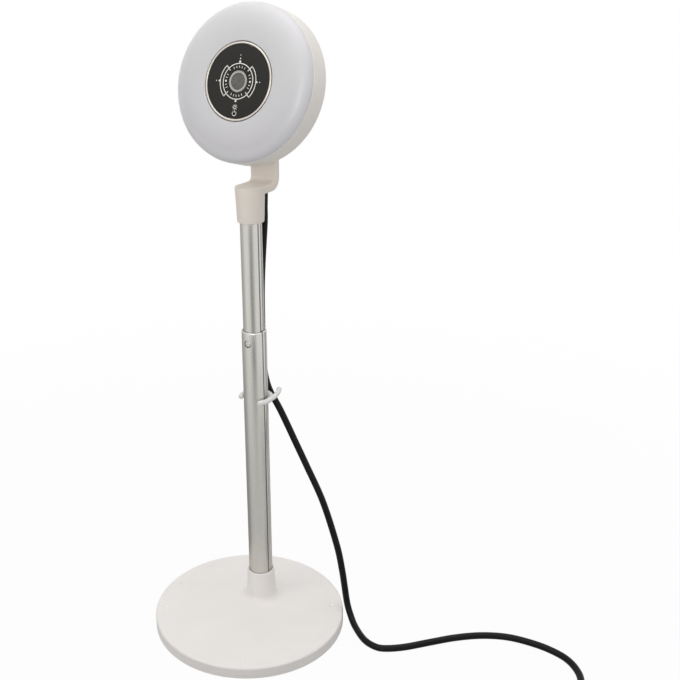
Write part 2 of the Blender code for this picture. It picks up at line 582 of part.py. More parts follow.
def make_neck(look, mast):
    edge = COLLAR_EDGE_RADIUS
    round_edge = arc((COLLAR_LOW_RADIUS - edge, COLLAR_BOTTOM + edge), edge, -75, 0, 4)
    chamfer = COLLAR_TOP_CHAMFER
    profile = ([(0, COLLAR_BOTTOM)] + [(COLLAR_LOW_RADIUS - edge, COLLAR_BOTTOM)] + round_edge
               + [(COLLAR_HIGH_RADIUS, COLLAR_TOP - chamfer), (COLLAR_HIGH_RADIUS - chamfer, COLLAR_TOP),
                  (0, COLLAR_TOP)])
    neck = place("neck_bracket", turned("neck_bracket", profile, MEDIUM), look["warm white"], parent=mast)

    front = STRAP_FRONT_Y - POLE_Y
    back = front + STRAP_THICKNESS
    shelf_low = COLLAR_TOP - SHELF_THICKNESS
    shoulder = HINGE_Z - STRAP_SHOULDER_DROP
    outer_bend = arc((back - BEND_RADIUS, shelf_low + BEND_RADIUS), BEND_RADIUS, -90, 0, 8)
    bend_centre = (front - BEND_INNER_RADIUS, COLLAR_TOP + BEND_INNER_RADIUS)
    inner_bend = arc(bend_centre, BEND_INNER_RADIUS, 0, -90, 6)
    strap = ([(0, shelf_low)] + outer_bend + [(back, shoulder), (front, shoulder)] + inner_bend
             + [(0, COLLAR_TOP)])
    combine(neck, prism("strap", strap, -STRAP_WIDTH / 2, STRAP_WIDTH / 2), "UNION", parent=mast,
            rotation=SIDEWAYS, bevel=STRAP_BEVEL)
    middle = (front + back) / 2
    half = STRAP_THICKNESS / 2
    root = shoulder - TONGUE_ROOT
    tongue = ([(middle - half, root), (middle + half, root)]
              + arc((middle, HINGE_Z), KNUCKLE_RADIUS, -40, 220, 14))
    combine(neck, prism("tongue", tongue, -TONGUE_WIDTH / 2, TONGUE_WIDTH / 2), "UNION", parent=mast,
            rotation=SIDEWAYS)
    pin_way = rod("pin_way", PIN_RADIUS + GAP, -STRAP_WIDTH, STRAP_WIDTH, SMALL)
    combine(neck, pin_way, "DIFFERENCE", parent=mast, location=(0, middle, HINGE_Z), rotation=ALONG_X)
    bore = grooved_outline(INNER_RADIUS + GAP, GROOVE_WIDTH - 2 * GAP, GROOVE_DEPTH)
    seat = prism("seat", bore, COLLAR_BOTTOM - OVERRUN, COLLAR_BOTTOM + INNER_SEAT_DEPTH + GAP)
    combine(neck, seat, "DIFFERENCE", parent=mast)
    screw_way = rod("screw_way", NECK_SCREW_RADIUS + GAP, CUT_START, COLLAR_HIGH_RADIUS + CUT_BEYOND, SMALL)
    combine(neck, screw_way, "DIFFERENCE", parent=mast, location=(0, 0, NECK_SCREW_Z), rotation=REARWARD)
    head_under = COLLAR_HIGH_RADIUS - NECK_SCREW_SINK
    shape = screw_profile(NECK_SCREW_HEAD, NECK_SCREW_HEAD_HEIGHT, NECK_SCREW_RADIUS, NECK_SCREW_LENGTH)
    place("neck_screw", turned("neck_screw", shape, SMALL), look["steel"], parent=mast,
          location=(0, head_under, NECK_SCREW_Z), rotation=FORWARD)

    gland_spot = (0, front + GLAND_SETBACK, 0)
    pocket = rod("gland_pocket", GLAND_RADIUS + GAP, GLAND_TOP - GLAND_LENGTH, GLAND_TOP)
    combine(neck, pocket, "DIFFERENCE", parent=mast, location=gland_spot)
    gland_high = GLAND_TOP - GAP
    gland_low = GLAND_TOP - GLAND_LENGTH
    shape = [(0, gland_low), (CORD_RADIUS + GLAND_LIP, gland_low),
             (GLAND_RADIUS, gland_high - GLAND_STRAIGHT), (GLAND_RADIUS, gland_high), (0, gland_high)]
    place("cord_gland", turned("cord_gland", shape, COARSE), look["black cord"], parent=mast,
          location=gland_spot)


# Hinge pieces, in the tilting head's own frame with the pin along X

def make_hinge(look, head):
    inner_face = TONGUE_WIDTH / 2 + GAP + WASHER_THICKNESS + GAP
    outer_face = inner_face + EAR_THICKNESS
    back_y = -PANEL_BEFORE_HINGE - HEAD_BACK
    plate_rear = back_y + GAP + BLOCK_PLATE
    half = BLOCK_HALF_HEIGHT
    width = 2 * (outer_face + BLOCK_MARGIN)
    block = place("hinge_block", box("hinge_block", (width, 2 * half, BLOCK_PLATE), -plate_rear),
                  look["warm white"], parent=head, rotation=FORWARD)
    edge = block.modifiers.new("edges", "BEVEL")
    edge.width = BLOCK_EDGE
    edge.segments = 2
    root = plate_rear - SINK
    ear = [(root, -EAR_RADIUS)] + arc((0, 0), EAR_RADIUS, -90, 90, 12) + [(root, EAR_RADIUS)]
    for low in (-outer_face, inner_face):
        combine(block, prism("ear", ear, low, low + EAR_THICKNESS), "UNION", parent=head, rotation=SIDEWAYS)
    pin_way = rod("pin_way", PIN_RADIUS + GAP, -width, width, SMALL)
    combine(block, pin_way, "DIFFERENCE", parent=head, rotation=ALONG_X)
    for i, side in enumerate((-1, 1), 1):
        spot = (0, plate_rear + GAP, side * BLOCK_SCREW_OFFSET)
        way = rod("way", BLOCK_SCREW_RADIUS + GAP, -CUT_BEYOND, BLOCK_SCREW_LENGTH + OVERRUN, SMALL)
        combine(block, way, "DIFFERENCE", parent=head, location=spot, rotation=FORWARD)
        shape = screw_profile(BLOCK_SCREW_HEAD, BLOCK_SCREW_HEAD_HEIGHT, BLOCK_SCREW_RADIUS,
                              BLOCK_SCREW_LENGTH)
        place(f"hinge_screw_{i}", turned("hinge_screw", shape, SMALL), look["steel"], parent=head,
              location=spot, rotation=FORWARD)
        low = TONGUE_WIDTH / 2 + GAP
        low = low if side > 0 else -low - WASHER_THICKNESS
        ring = [(PIN_RADIUS + GAP, low), (KNUCKLE_RADIUS, low), (KNUCKLE_RADIUS, low + WASHER_THICKNESS),
                (PIN_RADIUS + GAP, low + WASHER_THICKNESS)]
        place(f"hinge_washer_{i}", turned("hinge_washer", ring, COARSE, ring=True), look["natural plastic"],
              parent=head, rotation=ALONG_X)
    nut_low = outer_face + GAP
    nut_high = nut_low + NUT_HEIGHT
    shape = screw_profile(PIN_HEAD_RADIUS, PIN_HEAD_HEIGHT, PIN_RADIUS,
                          nut_high + PIN_PAST_NUT + outer_face + GAP)
    place("hinge_pin", turned("hinge_pin", shape, COARSE), look["steel"], parent=head,
          location=(-outer_face - GAP, 0, 0), rotation=ALONG_X)
    nut = place("hinge_nut", prism("hinge_nut", around(6, NUT_RADIUS), nut_low, nut_high), look["steel"],
                parent=head, rotation=ALONG_X)
    nut_way = rod("nut_way", PIN_RADIUS + GAP, nut_low - OVERRUN, nut_high + OVERRUN, SMALL)
    combine(nut, nut_way, "DIFFERENCE", parent=head, rotation=ALONG_X)


# Head pieces: turned about the head's axis, with the height running forward

def housing_screw_places():
    return around(HOUSING_SCREW_COUNT, HOUSING_SCREW_CIRCLE, 1 / 4)


def make_shells(look, head):
    back_centre = (HEAD_RADIUS - HEAD_BACK_RADIUS, HEAD_BACK + HEAD_BACK_RADIUS)
    outer_round = arc(back_centre, HEAD_BACK_RADIUS, -90, 0, 4)
    soft = max(HEAD_BACK_RADIUS - HEAD_WALL, HEAD_INNER_RADIUS_LEAST)
    inner_round = arc((HEAD_INSIDE - soft, HEAD_INNER_BACK + soft), soft, 0, -90, 2)
    profile = ([(0, HEAD_BACK)] + outer_round + [(HEAD_RADIUS, SEAM), (HEAD_INSIDE, SEAM)] + inner_round
               + [(0, HEAD_INNER_BACK)])
    housing = place("rear_housing", turned("rear_housing", profile, FINE), look["warm white"],
                    parent=head, location=FACE, rotation=FORWARD)
    reach = (HEAD_BACK - OVERRUN, HEAD_INNER_BACK + OVERRUN)
    for x, y in housing_screw_places():
        way = rod("way", HOUSING_SCREW_RADIUS + GAP, *reach, SMALL)
        combine(housing, way, "DIFFERENCE", parent=head, location=(x, FACE[1], FACE[2] + y), rotation=FORWARD)
    for side in (-1, 1):
        way = rod("way", BLOCK_SCREW_RADIUS + GAP, *reach, SMALL)
        combine(housing, way, "DIFFERENCE", parent=head, location=(0, FACE[1], side * BLOCK_SCREW_OFFSET),
                rotation=FORWARD)

    inner_edge = PANEL_RADIUS + GAP + TRIM_WIDTH + 2 * GAP
    dome, under = diffuser_curve(inner_edge, 0.0), diffuser_curve(inner_edge, DIFFUSER_WALL)
    lip_out, lip_low = HEAD_INSIDE - GAP, SEAM - DIFFUSER_LIP
    rim = SEAM + GAP
    lip = [(DIFFUSER_RADIUS, rim), (lip_out, rim), (lip_out, lip_low), (lip_out - DIFFUSER_WALL, lip_low)]
    foot = [(inner_edge + DIFFUSER_WALL, DIFFUSER_FOOT), (inner_edge, DIFFUSER_FOOT)]
    profile = dome + lip + under[::-1] + foot
    place("diffuser", turned("diffuser", profile, FINE, ring=True), look["diffuser"],
          parent=head, location=FACE, rotation=FORWARD)


def diffuser_curve(inner_edge, inset):
    """The ring's section: a low crown from the trim outward, then a round shoulder down to the seam."""
    reach = DIFFUSER_RADIUS - DIFFUSER_SHOULDER
    crown_at = (inner_edge + reach) / 2
    start = inner_edge + inset
    flat = []
    for i in range(CROWN_STEPS):
        r = start + (reach - start) * i / CROWN_STEPS
        across = (r - crown_at) / (reach - crown_at)
        flat.append((r, DIFFUSER_CROWN * (1 - across * across) - inset))
    drop = -(SEAM + GAP)
    turns = [math.pi / 2 * i / SHOULDER_STEPS for i in range(SHOULDER_STEPS)]
    shoulder = [(reach + (DIFFUSER_SHOULDER - inset) * math.sin(t),
                 drop * (math.cos(t) - 1) - inset * math.cos(t)) for t in turns]
    return flat + shoulder


def make_front(look, head):
    back = -PANEL_THICKNESS
    ring = [(BEZEL_RADIUS + GAP, back), (PANEL_RADIUS, back), (PANEL_RADIUS, 0), (BEZEL_RADIUS + GAP, 0)]
    settings = dict(parent=head, location=FACE, rotation=FORWARD)
    place("control_panel", turned("control_panel", ring, FINE, ring=True), look["panel"], **settings)
    low, high = PANEL_RADIUS + GAP, PANEL_RADIUS + GAP + TRIM_WIDTH
    bead = arc(((low + high) / 2, TRIM_RISE - TRIM_WIDTH / 4), TRIM_WIDTH / 2, 20, 160, 4)
    ring = [(low, back), (high, back)] + bead
    place("trim_ring", turned("trim_ring", ring, FINE, ring=True), look["champagne"], **settings)
    ring = [(KEY_RADIUS + GAP, back), (BEZEL_RADIUS, back), (BEZEL_RADIUS, BEZEL_RISE - BEZEL_EDGE / 2),
            (BEZEL_RADIUS - BEZEL_EDGE, BEZEL_RISE), (KEY_RADIUS + GAP, BEZEL_RISE)]
    place("key_bezel", turned("key_bezel", ring, MEDIUM, ring=True), look["pale bezel"], **settings)
    stem_end, stem = SWITCH_TOP + KEY_TRAVEL + KEY_STOP_GAP, KEY_STEM_RADIUS
    shape = [(0, stem_end), (stem, stem_end), (stem, -KEY_THICKNESS), (KEY_RADIUS, -KEY_THICKNESS),
             (KEY_RADIUS, -KEY_EDGE), (KEY_RADIUS - KEY_EDGE, 0), (0, 0)]
    place("centre_key", turned("centre_key", shape, MEDIUM), look["grey key"], **settings)


def make_inside(look, head):
    settings = dict(parent=head, location=FACE, rotation=FORWARD)
    floor_high = -PANEL_THICKNESS - GAP
    floor_low = floor_high - CARRIER_FLOOR
    outside = PANEL_RADIUS + GAP + TRIM_WIDTH + GAP
    skirt = outside - CARRIER_SKIRT_WALL
    ledge_low = BOARD_FACE + GAP
    ledge_out = BOARD_RADIUS - CARRIER_LEDGE_INSET
    ledge_in = ledge_out - CARRIER_LEDGE
    ring = [(KEY_RADIUS + GAP, floor_high), (KEY_RADIUS + GAP, floor_low), (ledge_in, floor_low),
            (ledge_in, ledge_low), (ledge_out, ledge_low), (ledge_out, floor_low), (skirt, floor_low),
            (skirt, CARRIER_SKIRT_END), (outside, CARRIER_SKIRT_END), (outside, floor_high)]
    carrier = place("panel_carrier", turned("panel_carrier", ring, MEDIUM, ring=True), look["warm white"],
                    **settings)
    for i, (x, y) in enumerate(housing_screw_places(), 1):
        spot = dict(parent=head, location=(x, FACE[1], FACE[2] + y), rotation=FORWARD)
        post = rod("post", HOUSING_POST_RADIUS, HEAD_INNER_BACK + GAP, floor_low + SINK / 2)
        combine(carrier, post, "UNION", **spot)
        pilot = rod("pilot", HOUSING_SCREW_RADIUS + GAP, HEAD_INNER_BACK - OVERRUN, floor_low - OVERRUN,
                    SMALL)
        combine(carrier, pilot, "DIFFERENCE", **spot)
        shape = screw_profile(HOUSING_SCREW_HEAD, HOUSING_SCREW_HEAD_HEIGHT, HOUSING_SCREW_RADIUS,
                              HOUSING_SCREW_LENGTH)
        screw_spot = dict(spot, location=(x, FACE[1] - HEAD_BACK + GAP, FACE[2] + y))
        place(f"housing_screw_{i}", turned("housing_screw", shape, SMALL), look["steel"], **screw_spot)
    board = [(0, BOARD_FACE - BOARD_THICKNESS), (BOARD_RADIUS, BOARD_FACE - BOARD_THICKNESS),
             (BOARD_RADIUS, BOARD_FACE), (0, BOARD_FACE)]
    place("control_board", turned("control_board", board, MEDIUM), look["board"], **settings)
    case_low = BOARD_FACE + GAP
    case = box("key_switch", (SWITCH_SIDE, SWITCH_SIDE, SWITCH_HEIGHT), case_low)
    switch = place("key_switch", case, look["panel"], **settings)
    plunger = rod("plunger", SWITCH_PLUNGER_RADIUS, case_low + SINK / 2, SWITCH_TOP, SMALL)
    combine(switch, plunger, "UNION", **settings)

    tray_inner = outside + GAP
    floor = TRAY_FLOOR + TRAY_WALL
    rim = SEAM - TRAY_RIM_DROP
    ring = [(tray_inner, TRAY_FLOOR), (TRAY_RADIUS, TRAY_FLOOR), (TRAY_RADIUS, rim),
            (TRAY_RADIUS - TRAY_WALL, rim), (TRAY_RADIUS - TRAY_WALL, floor), (tray_inner + TRAY_WALL, floor),
            (tray_inner + TRAY_WALL, TRAY_INNER_TOP), (tray_inner, TRAY_INNER_TOP)]
    place("reflector_tray", turned("reflector_tray", ring, MEDIUM, ring=True), look["led board"], **settings)
    face = floor + GAP + LED_BOARD_THICKNESS
    low, high = tray_inner + TRAY_WALL + GAP, TRAY_RADIUS - TRAY_WALL - GAP
    ring = [(low, floor + GAP), (high, floor + GAP), (high, face), (low, face)]
    leds = place("led_board", turned("led_board", ring, MEDIUM, ring=True), look["led board"], **settings)
    combine(leds, led_chips((low + high) / 2, face), "UNION", **settings)


def led_chips(circle, face):
    """The chips of the light ring, each a small block sunk a little into the board."""
    bm = bmesh.new()
    for i in range(LED_COUNT):
        turn = math.tau * i / LED_COUNT
        across = Vector((math.cos(turn), math.sin(turn), 0))
        along = Vector((-math.sin(turn), math.cos(turn), 0))
        corners = [across * (circle + sx * LED_SIZE[0] / 2) + along * (sy * LED_SIZE[1] / 2)
                   for sx, sy in ((-1, -1), (1, -1), (1, 1), (-1, 1))]
        low = [bm.verts.new(c + Vector((0, 0, face - LED_SINK))) for c in corners]
        high = [bm.verts.new(c + Vector((0, 0, face + LED_SIZE[2]))) for c in corners]
        bm.faces.new(low[::-1])
        bm.faces.new(high)
        for a in range(4):
            b = (a + 1) % 4
            bm.faces.new((low[a], low[b], high[b], high[a]))
    return mesh_from(bm, "led_chips")


# Clip, cord and plug

def rounded_rod(name, points, radius, sides=10):
    """A rod along points, with its ends drawn in to round tips."""
    path = [Vector(p) for p in points]
    first, last = (path[0] - path[1]).normalized(), (path[-1] - path[-2]).normalized()
    tips = ((0.95, 0.35), (0.70, 0.70), (0.30, 0.95))
    centres = [(path[0] + first * radius * b, radius * a) for a, b in reversed(tips)]
    centres += [(p, radius) for p in path]
    centres += [(path[-1] + last * radius * b, radius * a) for a, b in tips]
    bm = bmesh.new()
    loops = []
    for i, (centre, size) in enumerate(centres):
        ahead = centres[min(i + 1, len(centres) - 1)][0] - centres[max(i - 1, 0)][0]
        side = ahead.cross(Vector((0, 0, 1))).normalized()
        lift = side.cross(ahead).normalized()
        turns = [math.tau * k / sides for k in range(sides)]
        loops.append([bm.verts.new(centre + (side * math.cos(t) + lift * math.sin(t)) * size) for t in turns])
    for one, two in zip(loops, loops[1:]):
        for k in range(sides):
            m = (k + 1) % sides
            bm.faces.new((one[k], one[m], two[m], two[k]))
    bm.faces.new(loops[0])
    bm.faces.new(loops[-1])
    return mesh_from(bm, name)


def make_clip(look):
    ring_radius = OUTER_RADIUS + GAP + CLIP_ROD_RADIUS
    turns = [CLIP_FROM + (CLIP_TO - CLIP_FROM) * i / CLIP_STEPS for i in range(CLIP_STEPS + 1)]
    ring = [(ring_radius * math.cos(t), ring_radius * math.sin(t), CLIP_Z) for t in turns]
    clip = place("cable_clip", rounded_rod("cable_clip", ring, CLIP_ROD_RADIUS), look["clip white"],
                 location=MAST_AXIS)
    out = ring_radius + CLIP_ROD_RADIUS
    hook = [(ring_radius * HOOK_ROOT[0], HOOK_ROOT[1], CLIP_Z + HOOK_ROOT[2])]
    hook += [(out + x, y, CLIP_Z + z) for x, y, z in HOOK_LINE]
    arm = rounded_rod("hook", hook, CLIP_ROD_RADIUS * CLIP_HOOK_SHARE)
    combine(clip, arm, "UNION", location=MAST_AXIS)


def smooth_route(points, step):
    """Points evenly spaced along a smooth curve through the route."""
    path = [Vector(p) for p in points]
    ends = [path[0] * 2 - path[1]] + path + [path[-1] * 2 - path[-2]]
    fine = []
    for a, b, c, d in zip(ends, ends[1:], ends[2:], ends[3:]):
        for i in range(20):
            t = i / 20
            fine.append(0.5 * ((2 * b) + (c - a) * t + (2 * a - 5 * b + 4 * c - d) * t * t
                               + (3 * b - a - 3 * c + d) * t * t * t))
    fine.append(path[-1])
    length = sum((q - p).length for p, q in zip(fine, fine[1:]))
    count = max(2, round(length / step))
    kept, walked = [fine[0]], 0.0
    for p, q in zip(fine, fine[1:]):
        part = (q - p).length
        while part > 0 and len(kept) < count and walked + part >= length * len(kept) / count:
            kept.append(p + (q - p) * ((length * len(kept) / count - walked) / part))
        walked += part
    return kept + [fine[-1]], length


def tube(name, points, look, resolution):
    curve = bpy.data.curves.new(name, "CURVE")
    curve.dimensions = "3D"
    curve.bevel_depth = CORD_RADIUS
    curve.bevel_resolution = resolution
    curve.use_fill_caps = True
    spline = curve.splines.new("POLY")
    spline.points.add(len(points) - 1)
    for target, source in zip(spline.points, points):
        target.co = (*source, 1.0)
    return place(name, curve, look)


def coil_points():
    """Two layers: the spiral runs in, climbs in the half turn where it reverses, and runs out again."""
    total = int(2 * COIL_TURNS_PER_LAYER * COIL_POINTS_PER_TURN)
    points = []
    for i in range(total + 1):
        turned_by = i / COIL_POINTS_PER_TURN - COIL_TURNS_PER_LAYER
        radius = COIL_INNER_RADIUS + COIL_STEP * abs(turned_by)
        climb = min(max(turned_by / COIL_CLIMB_TURN + 0.5, 0.0), 1.0)
        height = COIL_LOW + COIL_STEP * climb * climb * (3 - 2 * climb)
        angle = math.pi + math.tau * i / COIL_POINTS_PER_TURN
        points.append(Vector((COIL_CENTRE[0] + radius * math.cos(angle),
                              COIL_CENTRE[1] + radius * math.sin(angle), height)))
    straight = Vector((0, 2 * CORD_RADIUS, 0))
    return [points[0] + straight] + points + [points[-1] - straight]


def print_self_gap(points):
    """The least gap between stretches of the coil that are not next to each other."""
    apart = COIL_POINTS_PER_TURN // 2
    least = min((p - q).length for i, p in enumerate(points) for q in points[i + apart:])
    print(f"coil's least gap to itself {1000 * (least - 2 * CORD_RADIUS):.2f} mm")


def make_cord(look):
    black = look["black cord"]
    upper, upper_length = smooth_route(UPPER_ROUTE, CORD_POINT_STEP)
    tube("cord_upper", upper, black, 2)
    coil = coil_points()
    run_in = [coil[0] + Vector((0, y, 0)) for y in (4 * CORD_RADIUS, 2 * CORD_RADIUS, GAP)]
    lower, lower_length = smooth_route(LOWER_ROUTE + run_in, CORD_POINT_STEP)
    tube("cord_lower", lower, black, 2)
    print_self_gap(coil)
    tube("cord_coil", coil, black, 1)
    coil_length = sum((q - p).length for p, q in zip(coil, coil[1:]))

    leave = coil[-1]
    plug_z = PLUG_GRIP[1] / 2 + PLUG_FLOOR_GAP
    route = [leave + Vector((0, -y, (plug_z - leave.z) * share)) for y, share in TAIL_DROPS]
    tail, tail_length = smooth_route(route, CORD_POINT_STEP)
    tube("cord_tail", tail, black, 2)
    total = upper_length + lower_length + coil_length + tail_length
    print(f"cord length {total:.3f} m: upper {upper_length:.3f}, lower {lower_length:.3f}, "
          f"coil {coil_length:.3f}, tail {tail_length:.3f}")
    make_tie(look)
    make_plug(look, route[-1])


def make_tie(look):
    """A flat strap round the coil's turns on the side nearest the viewer."""
    inner = COIL_INNER_RADIUS - CORD_RADIUS
    low_r = math.sqrt(inner * inner - (TIE_WIDTH / 2) ** 2) - GAP
    high_r = COIL_OUTER_RADIUS + CORD_RADIUS + GAP
    low_z, high_z = COIL_LIFT - GAP, COIL_HIGH + CORD_RADIUS + GAP
    strip = TIE_STRIP
    outside = [(low_r - strip, low_z - strip), (high_r + strip, low_z - strip),
               (high_r + strip, high_z + strip), (low_r - strip, high_z + strip)]
    inside = [(low_r, low_z), (high_r, low_z), (high_r, high_z), (low_r, high_z)]
    strap = grooved_tube("cord_tie", outside, inside, -TIE_WIDTH / 2, TIE_WIDTH / 2)
    place("cord_tie", strap, look["rubber"], location=(*COIL_CENTRE, 0),
          rotation=(math.pi / 2, 0, -math.pi / 2))


def make_plug(look, end):
    start = GAP
    grip_low = start + PLUG_RELIEF_LENGTH
    grip_high = grip_low + PLUG_GRIP[2]
    grip = place("plug_grip", box("plug_grip", PLUG_GRIP, grip_low), look["black cord"],
                 location=end, rotation=FORWARD)
    edge = grip.modifiers.new("edges", "BEVEL")
    edge.width = PLUG_GRIP_EDGE
    edge.segments = 2
    relief_end = grip_low + OVERRUN
    relief = [(0, start), (CORD_RADIUS + PLUG_RELIEF_STEP, start),
              (CORD_RADIUS + PLUG_RELIEF_FLARE, relief_end), (0, relief_end)]
    combine(grip, turned("relief", relief, COARSE), "UNION", location=end, rotation=FORWARD)
    shell_low = grip_high + GAP
    shell_high = shell_low + PLUG_SHELL[2]
    half_x, half_y = PLUG_SHELL[0] / 2, PLUG_SHELL[1] / 2
    thin = PLUG_SHELL_WALL
    outside = [(-half_x, -half_y), (half_x, -half_y), (half_x, half_y), (-half_x, half_y)]
    inside = [(x - math.copysign(thin, x), y - math.copysign(thin, y)) for x, y in outside]
    place("plug_shell", grooved_tube("plug_shell", outside, inside, shell_low, shell_high), look["steel"],
          location=end, rotation=FORWARD)
    size = (PLUG_SHELL[0] - 2 * thin - 2 * GAP, PLUG_TONGUE, PLUG_SHELL[2] - PLUG_TONGUE_SHORT)
    place("plug_tongue", box("plug_tongue", size, shell_low), look["natural plastic"],
          location=end + Vector((0, 0, half_y - thin - PLUG_TONGUE / 2 - GAP)), rotation=FORWARD)


def main():
    clear_scene()
    look = make_finishes()
    mast = pivot("mast_slide_axis", MAST_AXIS)
    head = pivot("head_tilt_axis", HINGE, (-TILT, 0, 0))
    make_base(look)
    make_mast_foot(look)
    make_tubes(look, mast)
    make_snap_button(look, mast)
    make_neck(look, mast)
    make_hinge(look, head)
    make_shells(look, head)
    make_front(look, head)
    make_inside(look, head)
    make_clip(look)
    make_cord(look)


main()
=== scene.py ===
import json
import math

import bmesh
import bpy
import numpy as np
from mathutils import Matrix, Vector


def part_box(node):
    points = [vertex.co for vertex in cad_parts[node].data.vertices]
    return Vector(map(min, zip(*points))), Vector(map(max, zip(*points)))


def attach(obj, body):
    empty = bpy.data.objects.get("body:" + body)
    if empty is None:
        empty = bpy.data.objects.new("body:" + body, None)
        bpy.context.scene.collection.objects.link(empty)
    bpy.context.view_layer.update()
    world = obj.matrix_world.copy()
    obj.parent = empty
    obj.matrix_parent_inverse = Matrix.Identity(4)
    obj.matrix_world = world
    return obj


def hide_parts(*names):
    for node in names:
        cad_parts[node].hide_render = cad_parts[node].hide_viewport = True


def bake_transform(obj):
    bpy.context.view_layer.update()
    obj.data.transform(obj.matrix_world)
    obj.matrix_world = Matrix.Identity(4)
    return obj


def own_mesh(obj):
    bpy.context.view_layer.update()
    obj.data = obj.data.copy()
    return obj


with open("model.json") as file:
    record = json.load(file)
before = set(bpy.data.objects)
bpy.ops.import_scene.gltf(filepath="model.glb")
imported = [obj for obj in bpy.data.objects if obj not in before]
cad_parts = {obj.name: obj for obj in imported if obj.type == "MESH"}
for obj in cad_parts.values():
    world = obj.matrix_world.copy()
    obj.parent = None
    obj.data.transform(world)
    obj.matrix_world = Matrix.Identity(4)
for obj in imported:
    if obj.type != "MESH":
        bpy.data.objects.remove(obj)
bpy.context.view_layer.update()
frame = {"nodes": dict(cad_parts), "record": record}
record = frame["record"]
joints = {j["name"]: j for j in record["behaviour"]["joints"]}
print("stage: frame loaded, nodes", len(frame["nodes"]))


# seats: an origin and three axes, so a piece is drawn flat and then put where the frame has it

def nodeBox(name):
    return tuple(np.array(corner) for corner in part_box(name))


def nodeMiddle(name):
    low, high = nodeBox(name)
    return (low + high) / 2


def unit(vector):
    return np.array(vector, float) / np.linalg.norm(vector)


sideways = np.array([1.0, 0.0, 0.0])
faceNormal = -unit(joints["key_press"]["axis"])
faceUp = np.cross(faceNormal, sideways)
hingePoint = np.array(joints["head_tilt"]["pos_m"])
mastMiddle = nodeMiddle("outer_tube") * [1, 1, 0]
panelDepth = 0.0024

upright = np.eye(3)
headAxes = np.array([sideways, faceUp, faceNormal])
acrossAxes = np.array([[0, 1, 0], [0, 0, 1], [1, 0, 0]], float)  # drawn in y and z, carried across x
forwardAxes = np.array([[1, 0, 0], [0, 0, 1], [0, -1, 0]], float)  # drawn in x and z, carried forward

baseSeat = (np.zeros(3), upright)
mastSeat = (mastMiddle, upright)
headSeat = (nodeMiddle("control_panel") + faceNormal * panelDepth / 2, headAxes)
hingeSeat = (hingePoint, headAxes)
pinSeat = (hingePoint, np.array([faceNormal, faceUp, sideways]))
neckSeat = (hingePoint * [1, 1, 0], acrossAxes)


def seated(coords, seat):
    return seat[0] + np.asarray(coords, float) @ seat[1]


# flat outlines

def arcPoints(radius, start, end, count):
    # radius times (cos a, sin a), a in degrees
    turn = np.radians(np.linspace(start, end, count))
    return radius * np.column_stack([np.cos(turn), np.sin(turn)])


def circlePoints(radius, count):
    return arcPoints(radius, 0, 360, count + 1)[:-1]


def rectangle(left, right, first, second):
    return [(left, first), (right, first), (right, second), (left, second)]


def softCorners(points, radii, steps=5):
    # each corner with a radius becomes an arc that touches both its sides
    points, path = np.array(points, float), []
    for i, radius in enumerate(radii):
        corner = points[i]
        if not radius:
            path.append(corner[None])
            continue
        back = unit(points[i - 1] - corner)
        ahead = unit(points[(i + 1) % len(points)] - corner)
        half = math.acos(np.clip(back @ ahead, -1, 1)) / 2
        middle = corner + unit(back + ahead) * radius / math.sin(half)
        reach = radius / math.tan(half)
        start, end = corner + back * reach - middle, corner + ahead * reach - middle
        first = math.atan2(start[1], start[0])
        sweep = (math.atan2(end[1], end[0]) - first + math.pi) % math.tau - math.pi
        turn = first + sweep * np.linspace(0, 1, steps + 1)
        path.append(middle + radius * np.stack([np.cos(turn), np.sin(turn)], 1))
    return np.concatenate(path)


def liftedRings(outlines, heights):
    # each flat outline at its height, one after another
    return np.concatenate([np.column_stack([outline, np.full(len(outline), height)])
                           for outline, height in zip(outlines, heights)])


# surfaces: each returns points and faces

def gridFaces(rows, columns, closeRows=False):
    # squares between neighbouring rings, each ring closed on itself
    r = np.arange(rows if closeRows else rows - 1)[:, None]
    c = np.arange(columns)[None, :]
    right, below = (c + 1) % columns, (r + 1) % rows
    corners = [r * columns + c, r * columns + right, below * columns + right, below * columns + c]
    return np.stack(corners, -1).reshape(-1, 4).tolist()


def cappedFaces(rows, columns):
    # the same, with a flat face over the first ring and the last
    last = (rows - 1) * columns
    ends = [list(range(columns))[::-1], list(range(last, last + columns))]
    return gridFaces(rows, columns) + ends


def turnedSurface(outline, turns, seat, closed=True):
    # radius and height carried round the seat's third axis: (r cos a, r sin a, h)
    outline = np.asarray(outline, float)
    angle = np.linspace(0, math.tau, turns, endpoint=False)
    r, h = outline[:, :1], outline[:, 1:]
    coords = np.stack([r * np.cos(angle), r * np.sin(angle), h + 0 * angle], -1)
    return seated(coords, seat).reshape(-1, 3), gridFaces(len(outline), turns, closed)


def slabSurface(outline, low, high, seat):
    # a flat outline carried from one height to another, with both ends closed
    outline = np.asarray(outline, float)
    return seated(liftedRings([outline] * 2, (low, high)), seat), cappedFaces(2, len(outline))


def pathFrames(path):
    # a side and a lift square to the path at each point, carried along without twisting
    ahead = np.gradient(path, axis=0)
    ahead /= np.linalg.norm(ahead, axis=1)[:, None]
    side = np.cross(ahead[0], [0.0, 0.0, 1.0])
    side = unit(side if np.linalg.norm(side) > 0.05 else np.cross(ahead[0], [0.0, 1.0, 0.0]))
    sides = []
    for direction in ahead:
        side = unit(side - direction * (side @ direction))
        sides.append(side)
    sides = np.array(sides)
    return sides, np.cross(ahead, sides)


